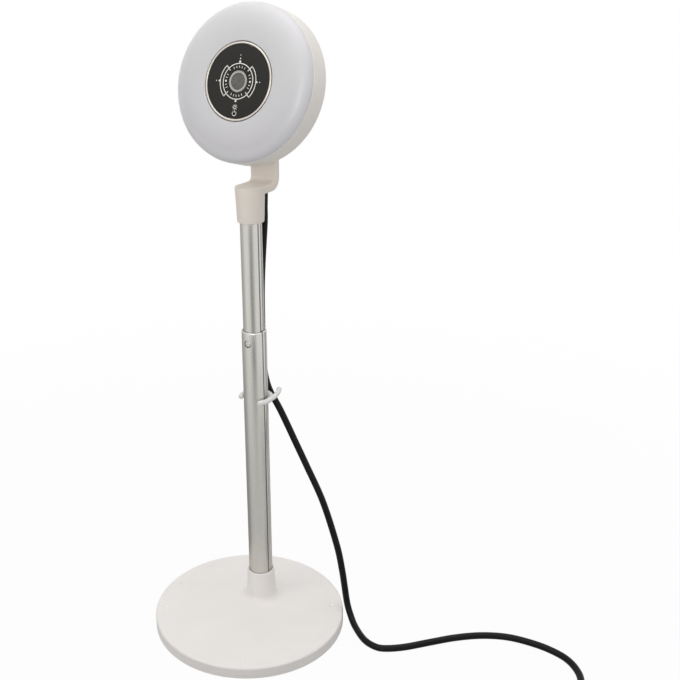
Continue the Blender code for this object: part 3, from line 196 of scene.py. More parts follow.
def rodSurface(path, radius, count, roundEnds=False):
    # a circle carried along the path; round ends shrink it as a half ball: sqrt(1 - t^2)
    path = np.asarray(path, float)
    radii = np.full(len(path), radius)
    if roundEnds:
        t = np.linspace(1, 0.1, 7)
        first, last = unit(path[0] - path[1]), unit(path[-1] - path[-2])
        caps = radius * np.sqrt(np.clip(1 - t * t, 0, 1))
        path = np.concatenate([path[0] + np.outer(t, first) * radius, path,
                               path[-1] + np.outer(t[::-1], last) * radius])
        radii = np.concatenate([caps, radii, caps[::-1]])
    sides, lifts = pathFrames(path)
    angle = np.linspace(0, math.tau, count, endpoint=False)[None, :, None]
    spokes = np.cos(angle) * sides[:, None] + np.sin(angle) * lifts[:, None]
    rings = path[:, None] + radii[:, None, None] * spokes
    return rings.reshape(-1, 3), cappedFaces(len(path), count)


def smoothRoute(points, spacing):
    # a curve through the points, read again at even steps; from b to c, with a before and d after:
    # half of 2 b + (c - a) t + (2 a - 5 b + 4 c - d) t^2 + (3 b - a - 3 c + d) t^3
    points = np.array(points, float)
    ends = np.concatenate([[2 * points[0] - points[1]], points, [2 * points[-1] - points[-2]]])
    a, b, c, d = (ends[i:len(ends) - 3 + i, None] for i in range(4))
    t = np.linspace(0, 1, 24, endpoint=False)[None, :, None]
    square, cube = 2 * a - 5 * b + 4 * c - d, 3 * b - a - 3 * c + d
    fine = 0.5 * (2 * b + (c - a) * t + square * t ** 2 + cube * t ** 3)
    return evenPath(np.concatenate([fine.reshape(-1, 3), points[-1:]]), spacing)


def walkedAlong(path):
    return np.concatenate([[0], np.cumsum(np.linalg.norm(np.diff(path, axis=0), axis=1))])


def evenPath(path, spacing):
    walked = walkedAlong(path)
    at = np.linspace(0, walked[-1], max(3, round(walked[-1] / spacing) + 1))
    return np.stack([np.interp(at, walked, path[:, k]) for k in range(3)], 1)


# pieces

meshSettings = {"merge": 2e-7, "bevelSteps": 3, "cutSharp": 30}


def linked(name, data):
    made = bpy.data.objects.new(name, data)
    bpy.context.scene.collection.objects.link(made)
    return made


def addPiece(name, surfaces, finish, body=None, stands=(), changes=(), sharp=35, bevel=0.0):
    points, faces, start = [], [], 0
    for somePoints, someFaces in surfaces:
        points.append(somePoints)
        faces += [[start + i for i in face] for face in someFaces]
        start += len(somePoints)
    mesh = bpy.data.meshes.new(name)
    mesh.from_pydata(np.concatenate(points).tolist(), [], faces)
    bm = bmesh.new()
    bm.from_mesh(mesh)
    bmesh.ops.remove_doubles(bm, verts=bm.verts, dist=meshSettings["merge"])
    bmesh.ops.recalc_face_normals(bm, faces=bm.faces)
    bm.to_mesh(mesh)
    bm.free()
    mesh.shade_smooth()
    mesh.set_sharp_from_angle(angle=math.radians(sharp))
    piece = linked(name, mesh)
    mesh.materials.append(finishes[finish])
    if bevel:
        edge = piece.modifiers.new("edges", "BEVEL")
        edge.width, edge.segments, edge.limit_method = bevel, meshSettings["bevelSteps"], "ANGLE"
        edge.harden_normals = True
    for operation, tools in changes:
        combine(piece, tools, operation)
    if stands:
        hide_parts(*stands)
    if body:
        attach(piece, body)
    return piece


def combine(piece, surfaces, operation):
    # cuts closed surfaces out of the piece, or joins them on, and keeps the result as its mesh
    tool = addPiece("tool", surfaces, piece.data.materials[0].name)
    change = piece.modifiers.new("change", "BOOLEAN")
    change.object, change.operation, change.solver = tool, operation, "EXACT"
    bpy.context.view_layer.update()
    depsgraph = bpy.context.evaluated_depsgraph_get()
    done = bpy.data.meshes.new_from_object(piece.evaluated_get(depsgraph))
    piece.modifiers.remove(change)
    piece.data = done
    bpy.data.objects.remove(tool, do_unlink=True)
    done.shade_smooth()
    done.set_sharp_from_angle(angle=math.radians(meshSettings["cutSharp"]))


# materials: every finish reads Object coordinates in metres

def startMaterial(name, roughness, metallic=0.0):
    material = bpy.data.materials.new(name)
    material.use_nodes = True
    tree = material.node_tree
    shader = tree.nodes["Principled BSDF"]
    shader.inputs["Roughness"].default_value = roughness
    shader.inputs["Metallic"].default_value = metallic
    coords = tree.nodes.new("ShaderNodeTexCoord").outputs["Object"]
    return material, tree, shader, coords


def noiseOf(tree, coords, scale, detail=2.0, stretch=(1, 1, 1)):
    place = tree.nodes.new("ShaderNodeMapping")
    place.inputs["Scale"].default_value = stretch
    noise = tree.nodes.new("ShaderNodeTexNoise")
    noise.inputs["Scale"].default_value = scale
    noise.inputs["Detail"].default_value = detail
    tree.links.new(coords, place.inputs["Vector"])
    tree.links.new(place.outputs["Vector"], noise.inputs["Vector"])
    return noise.outputs["Fac"]


def softStep(tree, value, start, end, first, last, kind="SMOOTHSTEP"):
    ramp = tree.nodes.new("ShaderNodeMapRange")
    ramp.interpolation_type = kind
    sockets = {"From Min": start, "From Max": end, "To Min": first, "To Max": last}
    for socket, number in sockets.items():
        ramp.inputs[socket].default_value = number
    tree.links.new(value, ramp.inputs["Value"])
    return ramp.outputs["Result"]


def spread(tree, noise, low, high):
    # the middle of a noise, where nearly all of it lies, stretched over a range
    return softStep(tree, noise, 0.3, 0.7, low, high, "LINEAR")


def mixColours(tree, factor, first, second):
    mix = tree.nodes.new("ShaderNodeMix")
    mix.data_type = "RGBA"
    tree.links.new(factor, mix.inputs["Factor"])
    for slot, colour in (("A", first), ("B", second)):
        socket = [s for s in mix.inputs if s.name == slot and s.type == "RGBA"][0]
        if isinstance(colour, tuple):
            socket.default_value = (*colour, 1.0)
        else:
            tree.links.new(colour, socket)
    return [s for s in mix.outputs if s.type == "RGBA"][0]


def splitAxes(tree, coords):
    split = tree.nodes.new("ShaderNodeSeparateXYZ")
    tree.links.new(coords, split.inputs["Vector"])
    return split.outputs


def mathNode(tree, operation, first, second=0.0):
    node = tree.nodes.new("ShaderNodeMath")
    node.operation = operation
    for socket, value in zip(node.inputs, (first, second)):
        if isinstance(value, (int, float)):
            socket.default_value = value
        else:
            tree.links.new(value, socket)
    return node.outputs[0]


def roughen(tree, shader, noise, low, high, strength, height):
    # gloss and height both follow the noise
    tree.links.new(spread(tree, noise, low, high), shader.inputs["Roughness"])
    bump = tree.nodes.new("ShaderNodeBump")
    bump.inputs["Strength"].default_value = strength
    bump.inputs["Distance"].default_value = height
    tree.links.new(noise, bump.inputs["Height"])
    tree.links.new(bump.outputs["Normal"], shader.inputs["Normal"])


plasticSettings = {"duller": 0.06, "bump": 0.35}
metalSettings = {
    # the groove colour here is painted shade along the tube's groove
    "tint": (0.62, 0.61, 0.60, 1.0), "paintedGrooveShade": (0.16, 0.155, 0.145),
    "duller": 0.07, "brighter": 0.05, "bump": 0.10, "height": 0.00002,
}
# the rim start and end place the diffuser's painted highlight
milkySettings = {
    "roughness": 0.34, "paintedRimHighlightStart": 0.052, "paintedRimHighlightEnd": 0.064, "depthShare": 0.25, "depth": 0.004,
    "grain": 1800, "duller": 0.04, "bump": 0.15, "height": 0.00001,
}


def mouldedPlastic(name, colour, deeper, roughness, grain=2600, height=0.00003, mottle=38, gloss=0.5):
    # slow mottling in the colour, a fine grain in gloss and height
    duller, bump = plasticSettings["duller"], plasticSettings["bump"]
    material, tree, shader, coords = startMaterial(name, roughness)
    shader.inputs["Specular IOR Level"].default_value = gloss
    cloud = spread(tree, noiseOf(tree, coords, mottle, 3), 0, 1)
    tree.links.new(mixColours(tree, cloud, colour, deeper), shader.inputs["Base Color"])
    fine = noiseOf(tree, coords, grain)
    roughen(tree, shader, fine, roughness - duller, roughness + duller, bump, height)
    return material


def drawnMetal(name, colour, deeper, roughness, stretch, grooveShadeLine=None):
    # fine streaks along the draw, in colour, gloss and height; a line of painted shade darkens the
    # groove's front wall
    s = metalSettings
    material, tree, shader, coords = startMaterial(name, roughness, 1.0)
    shader.inputs["Specular Tint"].default_value = s["tint"]
    streak = noiseOf(tree, coords, 1.0, 3, stretch)
    shade = mixColours(tree, spread(tree, streak, 0, 1), colour, deeper)
    if grooveShadeLine:
        # painted shade: a dark line along the groove's front wall
        shade = mixColours(tree, paintedGrooveShadeMask(tree, coords, *grooveShadeLine), shade, s["paintedGrooveShade"])
    tree.links.new(shade, shader.inputs["Base Color"])
    low, high = roughness - s["brighter"], roughness + s["duller"]
    roughen(tree, shader, streak, low, high, s["bump"], s["height"])
    return material


def paintedGrooveShadeMask(tree, coords, lineY, half, soft):
    # painted shade: 1 along a line of one y on the tube, at the groove's front wall, 0 a little further
    # round
    off = mathNode(tree, "SUBTRACT", splitAxes(tree, coords)["Y"], lineY)
    return softStep(tree, mathNode(tree, "ABSOLUTE", off), half - soft, half + soft, 1.0, 0.0)


def milkyDiffuser(name, colour, deeper, rim):
    # painted shade: deeper towards the bottom; painted highlight: paler where the rim turns away
    s = milkySettings
    roughness, duller = s["roughness"], s["duller"]
    material, tree, shader, coords = startMaterial(name, roughness)
    low, high = nodeBox("diffuser")
    # painted shade: darker towards the bottom of the diffuser
    climb = softStep(tree, splitAxes(tree, coords)["Z"], low[2], high[2], 0.0, 1.0)
    reach = tree.nodes.new("ShaderNodeVectorMath")
    reach.operation = "DISTANCE"
    reach.inputs[1].default_value = nodeMiddle("diffuser")
    tree.links.new(coords, reach.inputs[0])
    # painted highlight: paler towards the rim
    edge = softStep(tree, reach.outputs["Value"], s["paintedRimHighlightStart"], s["paintedRimHighlightEnd"], 0.0, 1.0)
    shade = mixColours(tree, edge, mixColours(tree, climb, deeper, colour), rim)
    tree.links.new(shade, shader.inputs["Base Color"])
    shader.inputs["Subsurface Weight"].default_value = s["depthShare"]
    shader.inputs["Subsurface Radius"].default_value = (s["depth"],) * 3
    fine = noiseOf(tree, coords, s["grain"])
    roughen(tree, shader, fine, roughness - duller, roughness + duller, s["bump"], s["height"])
    return material


plastics = {
    # colour, deeper patches, roughness; then, where not the usual: grain, its height, mottle, gloss
    "baseWhite": ((0.885, 0.855, 0.832), (0.86, 0.83, 0.807), 0.48),
    "warmWhite": ((0.92, 0.885, 0.835), (0.895, 0.86, 0.81), 0.46),
    "neckWhite": ((0.855, 0.785, 0.71), (0.825, 0.755, 0.68), 0.46),
    "clipWhite": ((0.84, 0.83, 0.82), (0.80, 0.79, 0.78), 0.36),
    "naturalPlastic": ((0.70, 0.70, 0.68), (0.66, 0.66, 0.64), 0.5),
    "panelBlack": ((0.023, 0.022, 0.020), (0.029, 0.028, 0.025), 0.50, 5200, 0.00002, 900, 0.14),
    "keyGrey": ((0.165, 0.155, 0.145), (0.09, 0.085, 0.08), 0.45, 5200, 0.00002, 700, 0.3),
    "paleRing": ((0.46, 0.45, 0.42), (0.41, 0.40, 0.37), 0.38),
    "printCream": ((0.93, 0.91, 0.86), (0.88, 0.86, 0.80), 0.5, 6000, 0.00001, 1200),
    "blackJacket": ((0.004, 0.004, 0.004), (0.006, 0.006, 0.006), 0.32, 3200, 0.000006, 160, 0.14),
    "blackRubber": ((0.018, 0.018, 0.018), (0.026, 0.026, 0.026), 0.7),
    "boardGreen": ((0.02, 0.13, 0.06), (0.02, 0.10, 0.05), 0.45),
    "trayWhite": ((0.85, 0.85, 0.82), (0.82, 0.82, 0.79), 0.5),
}
# painted shade along the groove's front wall
paintedGrooveShadeLine = (mastMiddle[1] - 0.0026, 0.0009, 0.0004)  # y of the line, half its width, its softness
metals = {
    # colour, deeper streaks, roughness, streaks to the metre along x, y and z, painted shade line in the
    # groove
    "tubeMetal": ((0.655, 0.642, 0.606), (0.585, 0.572, 0.536), 0.28, (2600, 2600, 14), paintedGrooveShadeLine),
    "buttonMetal": ((0.62, 0.605, 0.575), (0.55, 0.535, 0.505), 0.32, (900, 900, 900)),
    "champagneMetal": ((0.64, 0.60, 0.55), (0.56, 0.52, 0.47), 0.34, (900, 900, 900)),
    "screwSteel": ((0.62, 0.62, 0.62), (0.52, 0.52, 0.52), 0.30, (1500, 1500, 1500)),
    "ballastIron": ((0.20, 0.20, 0.21), (0.15, 0.15, 0.16), 0.6, (400, 400, 400)),
}
# the diffuser's colour, its painted shade at the bottom and its painted highlight at the rim
milkyColourAndPaintedLight = ((0.735, 0.737, 0.742), (0.615, 0.605, 0.63), (0.77, 0.76, 0.785))
finishes = {name: mouldedPlastic(name, *values) for name, values in plastics.items()}
finishes |= {name: drawnMetal(name, *values) for name, values in metals.items()}
finishes["milky"] = milkyDiffuser("milky", *milkyColourAndPaintedLight)

finishSlots = {
    "baseWhite": "base_white", "warmWhite": "warm_white", "milky": "diffuser",
    "tubeMetal": "satin_metal", "champagneMetal": "champagne", "panelBlack": "panel",
    "keyGrey": "grey_key", "paleRing": "pale_bezel", "screwSteel": "steel", "ballastIron": "iron",
    "boardGreen": "board", "trayWhite": "led_board", "blackRubber": "rubber",
    "blackJacket": "black_cord", "clipWhite": "clip_white", "naturalPlastic": "natural_plastic",
}
nodeFinish = {slotName: finishes[name] for name, slotName in finishSlots.items()}
for part in record["subparts"]:
    node = frame["nodes"][part["node"]]
    node.data.materials.clear()
    node.data.materials.append(nodeFinish[part["material_slot"]])
finishSlots |= {"neckWhite": "warm_white", "buttonMetal": "satin_metal", "printCream": "pale_bezel"}
print("stage: finishes", len(finishes))


# base

baseSettings = {
    "top": 0.0129, "wall": 0.0022, "edge": 0.0022, "lowEdge": 0.0007, "lipEdge": 0.0004, "lift": 0.0015,
    "markCount": 12, "markCircle": 0.0796, "markDepth": 0.0009, "markRadius": 0.0020, "markTurn": 1.7,
    "bossRadius": 0.0129, "bossDraft": 0.0012, "bossFoot": 0.0225, "bossFootHeight": 0.0075,
    "bossSink": 0.0018, "bore": 0.0114, "rimEdge": 0.0008, "boreEdge": 0.0004,
    "keyHalf": 0.0017, "keyTip": 0.0106, "keyRoot": 0.0120, "keySink": 0.001, "keyDrop": 0.0004,
}


def sinkMarks(s):
    # a circle of shallow dishes: ball radius = (rim^2 + depth^2) / (2 depth)
    ball = (s["markRadius"] ** 2 + s["markDepth"] ** 2) / (2 * s["markDepth"])
    t = np.linspace(0, 1.3 * math.asin(s["markRadius"] / ball), 10)
    bottom = s["top"] - s["markDepth"]
    dish = np.column_stack([ball * np.sin(t), bottom + ball * (1 - np.cos(t))])
    dish = np.concatenate([dish, [(0, dish[-1, 1])]])
    turn = math.radians(s["markTurn"]) + math.tau * np.arange(s["markCount"]) / s["markCount"]
    places = s["markCircle"] * np.column_stack([np.cos(turn), np.sin(turn), 0 * turn])
    return [turnedSurface(dish, 32, (place, upright), False) for place in places]


def keyOutline(side, s):
    # the small rib inside the boss that sits in the tube's groove
    half, tip, root = s["keyHalf"], side * s["keyTip"], side * s["keyRoot"]
    return [(root, -half), (root, half), (tip, half), (tip, -half)][::side]


def makeBase(s):
    radius, bossTop = nodeBox("base_cover")[1][[0, 2]]
    top, lift, inside = s["top"], s["lift"], radius - s["wall"]
    corners = [(0, top), (radius, top), (radius, lift), (inside, lift),
               (inside, top - s["wall"]), (0, top - s["wall"])]
    section = softCorners(corners, [0, s["edge"], s["lowEdge"], s["lipEdge"], 0, 0], 8)
    shell = turnedSurface(section, 240, baseSeat, False)

    # the boss: a drafted collar whose foot flares out in a quarter ellipse
    foot, neck, sunk = s["bossFoot"], s["bossRadius"] + s["bossDraft"], top - s["bossSink"]
    t = np.linspace(0, math.pi / 2, 16)
    flare = np.column_stack([neck + (foot - neck) * (1 - np.sin(t)),
                             top + s["bossFootHeight"] * (1 - np.cos(t))])
    rim = softCorners([flare[-1], (s["bossRadius"], bossTop), (s["bore"], bossTop),
                       (s["bore"], sunk), (foot, sunk)], [0, s["rimEdge"], s["boreEdge"], 0, 0])
    boss = turnedSurface(np.concatenate([flare[:-1], rim]), 120, mastSeat)
    keys = [slabSurface(keyOutline(side, s), top - s["keySink"], bossTop - s["keyDrop"], mastSeat)
            for side in (1, -1)]
    addPiece("baseShell", [shell], "baseWhite", "base", ["base_cover"],
             [("DIFFERENCE", sinkMarks(s)), ("UNION", [boss]), ("UNION", keys)])


makeBase(baseSettings)
print("stage: base")


# mast

tubeSettings = {
    "outerRadius": 0.0111, "outerBore": 0.00975, "innerRadius": 0.00945, "innerBore": 0.00825,
    "grooveWidth": 0.0042, "grooveDepth": 0.0008, "keyWidth": 0.0030, "keyHeight": 0.0005,
    "innerWidth": 0.0054, "lip": 0.0003, "rimEdge": 0.0011, "rimFlat": 0.0001,
    "holeGap": 0.0003, "holeStart": 0.003, "holeEnd": 0.015,
}
buttonSettings = {
    "radius": 0.0030, "edge": 0.0009, "flange": 0.0042, "flangeEdge": 0.0002, "step": 0.0068,
    "back": 0.0056, "pressed": 0.0092, "strip": 0.0005,
}


def groovedOutline(radius, width, depth, lip):
    # a circle whose radius steps down smoothly inside a groove at each side:
    # r = radius - depth * smoothstep((half width + half lip - |across|) / lip)
    base = np.linspace(0, math.tau, 240, endpoint=False)
    half = math.asin(width / 2 / radius)
    near = np.concatenate([c + e * half + np.linspace(-1, 1, 13) * 1.2 * lip / radius
                           for c in (0, math.pi) for e in (-1, 1)]) % math.tau
    angle = np.unique(np.round(np.concatenate([base, near]), 9))
    across = np.abs(radius * np.sin(angle))
    step = np.clip((width / 2 + lip / 2 - across) / lip, 0, 1)
    r = radius - depth * step * step * (3 - 2 * step)
    return np.column_stack([r * np.cos(angle), r * np.sin(angle)])


def tubeSurface(outside, inside, low, high, edge, flat):
    # the outside outline up, over a quarter-round rim and down the bore, closed below
    outAngle = np.unwrap(np.arctan2(outside[:, 1], outside[:, 0]))
    inAngle = np.unwrap(np.arctan2(inside[:, 1], inside[:, 0]))
    inRadius = np.interp(outAngle, inAngle, np.linalg.norm(inside, axis=1), period=math.tau)
    bore = inRadius[:, None] * np.column_stack([np.cos(outAngle), np.sin(outAngle)])
    inward = bore - outside
    inward /= np.linalg.norm(inward, axis=1)[:, None]
    levels = [(outside, h) for h in np.linspace(low, high - edge, 8)]
    levels += [(outside + inward * edge * (1 - math.cos(t)), high - edge * (1 - math.sin(t)))
               for t in np.linspace(0, math.pi / 2, 5)[1:]]
    levels += [(bore - inward * flat, high), (bore, high - flat), (bore, low)]
    rings = liftedRings(*zip(*levels))
    return seated(rings, mastSeat), gridFaces(len(levels), len(outside), True)


def makeTubes(s, button):
    frontSeat = (np.array([0, mastMiddle[1], nodeMiddle("snap_button")[2]]), forwardAxes)
    holeOutline = circlePoints(button["radius"] + s["holeGap"], 48)
    hole = slabSurface(holeOutline, s["holeStart"], s["holeEnd"], frontSeat)
    sizes = (
        ("outer_tube", "base", "outerTube", s["outerRadius"], s["outerBore"],
         s["keyWidth"], s["keyHeight"]),
        ("inner_tube", "mast", "innerTube", s["innerRadius"], s["innerBore"],
         s["innerWidth"], s["grooveDepth"]),
    )
    for node, body, name, radius, bore, width, depth in sizes:
        low, high = nodeBox(node)
        outside = groovedOutline(radius, s["grooveWidth"], s["grooveDepth"], s["lip"])
        inside = groovedOutline(bore, width, depth, s["lip"])
        tube = tubeSurface(outside, inside, low[2], high[2], s["rimEdge"], s["rimFlat"])
        addPiece(name, [tube], "tubeMetal", body, [node], [("DIFFERENCE", [hole])])
    makeButton(button, frontSeat)


def makeButton(s, frontSeat):
    # a domed pin with a flange, on the snap button's own body; the real one flattens into the tube as the
    # mast comes down
    low, high = nodeBox("snap_button")
    tip = mastMiddle[1] - low[1]
    r, flange, step, back = s["radius"], s["flange"], s["step"], s["back"]
    cap = softCorners([(0, tip), (r, tip), (r, step), (flange, step), (flange, back), (0, back)],
                      [0, s["edge"], 0, s["flangeEdge"], s["flangeEdge"], 0], 6)
    button = addPiece("buttonCap", [turnedSurface(cap, 64, frontSeat, False)],
                      "buttonMetal", "snap_button", ["snap_button"])
    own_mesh(button)


def makeSpring(s):
    # a bent strip: two legs joined by a half round, carried across x
    low, high = nodeBox("button_spring")
    bend = (high[1] - low[1]) / 2
    middle, strip, bottom, top = low[1] + bend, s["strip"], low[2] + bend, high[2]
    ring = arcPoints(1, 180, 360, 24)
    outline = np.concatenate([
        [(low[1], top)], [(middle, bottom)] + bend * ring, [(high[1], top)], [(high[1] - strip, top)],
        [(middle, bottom)] + (bend - strip) * ring[::-1], [(low[1] + strip, top)],
    ])
    leaf = slabSurface(outline, low[0], high[0], (np.zeros(3), acrossAxes))
    spring = addPiece("buttonSpring", [leaf], "screwSteel", "mast", ["button_spring"])
    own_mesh(spring)


makeTubes(tubeSettings, buttonSettings)
makeSpring(buttonSettings)
print("stage: mast")


# neck

neckSettings = {
    "lowRadius": 0.01155, "highRadius": 0.01275, "lowEdge": 0.0014, "topEdge": 0.0006,
    "bore": 0.00975, "boreEdge": 0.0006, "tubeGap": 0.0003, "aboveTube": 0.008,
    "shelf": 0.0065, "plate": 0.007, "width": 0.025, "bend": 0.0075, "corner": 0.0010,
    "riseStart": 0.003, "shoulderDrop": 0.0095, "tongueRoot": 0.004, "tongueWidth": 0.0092,
    "knuckle": 0.0054, "knuckleTurn": (-40, 220),
}


def barSection(halfWidth, halfDepth, corner):
    # a rounded rectangle as whole arrays: corner centres plus a turning radius
    angle = np.linspace(0, math.tau, 48, endpoint=False) + math.tau / 96
    c = np.minimum(corner, np.minimum(halfWidth, halfDepth) * 0.98)
    x = np.sign(np.cos(angle)) * (halfWidth - c)[:, None] + c[:, None] * np.cos(angle)
    y = np.sign(np.sin(angle)) * (halfDepth - c)[:, None] + c[:, None] * np.sin(angle)
    return x, y


def strapSurface(s, shelfZ, shoulder):
    # a rounded bar carried along shelf, bend and plate, with its last edge drawn in to a round
    bendY, plateY, corner = hingePoint[1] - s["bend"], hingePoint[1], s["corner"]
    lead = np.column_stack([np.linspace(mastMiddle[1], bendY, 8, endpoint=False), np.full(8, shelfZ)])
    bend = arcPoints(s["bend"], -90, 0, 20) + [bendY, shelfZ + s["bend"]]
    rise = np.column_stack([np.full(8, plateY),
                            np.linspace(bend[-1, 1] + s["riseStart"], shoulder - corner, 8)])
    edge = np.linspace(0.3, math.pi / 2, 5)
    last = np.column_stack([np.full(5, plateY), shoulder - corner + corner * np.sin(edge)])
    path = np.concatenate([lead, bend, rise, last])
    inset = np.concatenate([np.zeros(len(path) - 5), corner * (1 - np.cos(edge))])
    ahead = np.gradient(path, axis=0)
    ahead /= np.linalg.norm(ahead, axis=1)[:, None]
    across = np.column_stack([-ahead[:, 1], ahead[:, 0]])
    halfDepth = np.interp(np.arange(len(path)), [len(lead), len(lead) + len(bend)],
                          [s["shelf"] / 2, s["plate"] / 2])
    x, d = barSection(s["width"] / 2 - inset, halfDepth - inset, corner)
    rings = np.stack([x, path[:, :1] + across[:, :1] * d, path[:, 1:] + across[:, 1:] * d], -1)
    return rings.reshape(-1, 3), cappedFaces(len(path), rings.shape[1])


def makeNeck(s):
    tubeTop, bottom = nodeBox("inner_tube")[1][2], nodeBox("neck_bracket")[0][2]
    top, ceiling = tubeTop + s["aboveTube"], tubeTop + s["tubeGap"]
    corners = [(0, top), (s["highRadius"], top), (s["lowRadius"], bottom), (s["bore"], bottom),
               (s["bore"], ceiling), (0, ceiling)]
    section = softCorners(corners, [0, s["topEdge"], s["lowEdge"], s["boreEdge"], 0, 0], 8)
    collar = turnedSurface(section, 128, mastSeat, False)

    shoulder = hingePoint[2] - s["shoulderDrop"]
    strap = strapSurface(s, top - s["shelf"] / 2, shoulder)
    half, root = s["plate"] / 2, shoulder - s["tongueRoot"]
    knuckle = arcPoints(s["knuckle"], *s["knuckleTurn"], 40) + [0, hingePoint[2]]
    outline = np.concatenate([[(-half, root), (half, root)], knuckle])
    tongue = slabSurface(outline, -s["tongueWidth"] / 2, s["tongueWidth"] / 2, neckSeat)
    addPiece("neckMoulding", [collar], "neckWhite", "mast", ["neck_bracket"],
             [("UNION", [strap]), ("UNION", [tongue])])


makeNeck(neckSettings)
print("stage: neck")


# head shells

headSettings = {
    "radius": 0.0641, "wall": 0.0022, "back": -0.0324, "backEdge": 0.0055, "insideEdge": 0.003,
    "seam": -0.0093, "seamEdge": 0.0005, "lipEdge": 0.0003, "gap": 0.0003,
    "diffuserRadius": 0.0637, "diffuserWall": 0.0018, "crown": 0.0012, "innerEdge": 0.0319,
    "lipDepth": 0.0028, "foot": -0.0052, "turns": 200,
}


def diffuserSection(s, inset):
    # u runs from the trim to the rim: height = 4 crown u (1 - u) + drop (sqrt(1 - u^6) - 1)
    crowded = 0.6  # past this share the points close up, to follow the rim
    turn = np.linspace(math.asin(crowded ** 3), math.pi / 2, 34)
    u = np.concatenate([np.linspace(0, crowded, 14, endpoint=False), np.sin(turn) ** (1 / 3)])
    fall = np.sqrt(np.clip(1 - u ** 6, 0, 1))
    r = s["innerEdge"] + inset + (s["diffuserRadius"] - s["innerEdge"] - 2 * inset) * u
    drop = -(s["seam"] + s["gap"])
    return np.column_stack([r, 4 * s["crown"] * u * (1 - u) + drop * (fall - 1) - inset * fall])


def makeHead(s):
    radius, back, seam, wall = s["radius"], s["back"], s["seam"], s["wall"]
    inside = radius - wall
    corners = [(0, back), (radius, back), (radius, seam), (inside, seam),
               (inside, back + wall), (0, back + wall)]
    edges = [0, s["backEdge"], s["seamEdge"], s["lipEdge"], s["insideEdge"], 0]
    housing = turnedSurface(softCorners(corners, edges, 10), s["turns"], headSeat, False)
    addPiece("headHousing", [housing], "warmWhite", "head", ["rear_housing"])

    lip, shell, inner = inside - s["gap"], s["diffuserWall"], s["innerEdge"]
    rim = [(lip, seam + s["gap"]), (lip, seam - s["lipDepth"]), (lip - shell, seam - s["lipDepth"])]
    foot = [(inner + shell, s["foot"]), (inner, s["foot"])]
    outline = np.concatenate([diffuserSection(s, 0.0), rim, diffuserSection(s, shell)[::-1], foot])
    dome = turnedSurface(outline, s["turns"], headSeat)
    addPiece("domedDiffuser", [dome], "milky", "head", ["diffuser"])


makeHead(headSettings)
print("stage: head shells")


# control panel, trim and key

panelSettings = {
    "radius": 0.0292, "panelEdges": (0.0001, 0.0002), "gap": 0.0003,
    "trimLow": 0.0295, "trimHigh": 0.0313, "trimRise": 0.0004, "trimEdges": (0.0006, 0.0008),
    "bezelRadius": 0.00845, "bezelRise": 0.00015, "bezelEdges": (0.0002, 0.0003),
    "keyRadius": 0.00625, "keyDepth": 0.0016, "keyEdge": 0.0003, "keyLowEdge": 0.0001,
    "stemRadius": 0.002, "stemEnd": -0.0036,
}


def makePanel(s):
    # three flat rings one inside the other, and the key in the middle
    rings = (
        ("panelDisc", "panelBlack", "control_panel",
         s["bezelRadius"] + s["gap"], s["radius"], 0, s["panelEdges"], 3, 180),
        ("trimBead", "champagneMetal", "trim_ring",
         s["trimLow"], s["trimHigh"], s["trimRise"], s["trimEdges"], 8, 200),
        ("keySurround", "paleRing", "key_bezel",
         s["keyRadius"] + s["gap"], s["bezelRadius"], s["bezelRise"], s["bezelEdges"], 5, 120),
    )
    for name, finish, node, low, high, rise, edges, steps, turns in rings:
        section = softCorners(rectangle(low, high, rise, -panelDepth), [*edges, 0, 0], steps)
        addPiece(name, [turnedSurface(section, turns, headSeat)], finish, "head", [node])
    radius, under, stem, end = s["keyRadius"], -s["keyDepth"], s["stemRadius"], s["stemEnd"]
    cap = softCorners([(0, 0), (radius, 0), (radius, under), (stem, under), (stem, end), (0, end)],
                      [0, s["keyEdge"], s["keyLowEdge"], 0, 0, 0])
    addPiece("keyCap", [turnedSurface(cap, 120, headSeat, False)], "keyGrey",
             "centre_key", ["centre_key"])


makePanel(panelSettings)

printSettings = {
    "low": 0.00001, "high": 0.00006, "line": 0.00068, "ring": 0.0140,
    "bracket": 0.0169, "bracketReach": 43, "spoke": (0.0116, 0.01725), "spokeTurns": (45, 135, 225, 315),
    "tick": (0.0105, 0.0122, 0.0005), "sideTicks": (-26, -14, 14, 26), "endTicks": (-26, -13, 0, 13, 26),
    "sideDots": ((0.0115, 0.00085), (0.0177, 0.0008), (0.0207, 0.00045)),  # distance out, radius
    "endDots": ((0.0154, 0.0009), (-0.0154, 0.0009), (0.0178, 0.0006), (0.0205, 0.00045)),
    "markLine": 0.0005,
    "sunPlace": (0, -0.0203), "sunRadius": 0.0011, "sunRay": (0.0017, 0.0024, 0.0004),
    "standbyPlace": (0, -0.0252), "standbyRadius": 0.0018, "standbyArc": (125, 415),
    "standbyBar": (0.0008, 0.0024, 0.0005),
}


def arcOutline(radius, width, start, end, steps=48, centre=(0, 0)):
    ring = arcPoints(1, start, end, steps)
    return np.concatenate([ring * (radius + width / 2), ring[::-1] * (radius - width / 2)]) + centre


def dotOutline(u, v, radius):
    return circlePoints(radius, 28) + [u, v]


def spokeOutline(angle, low, high, width, centre=(0, 0)):
    along = np.array([math.cos(math.radians(angle)), math.sin(math.radians(angle))])
    across = np.array([-along[1], along[0]]) * width / 2
    return np.array([along * low - across, along * high - across,
                     along * high + across, along * low + across]) + centre


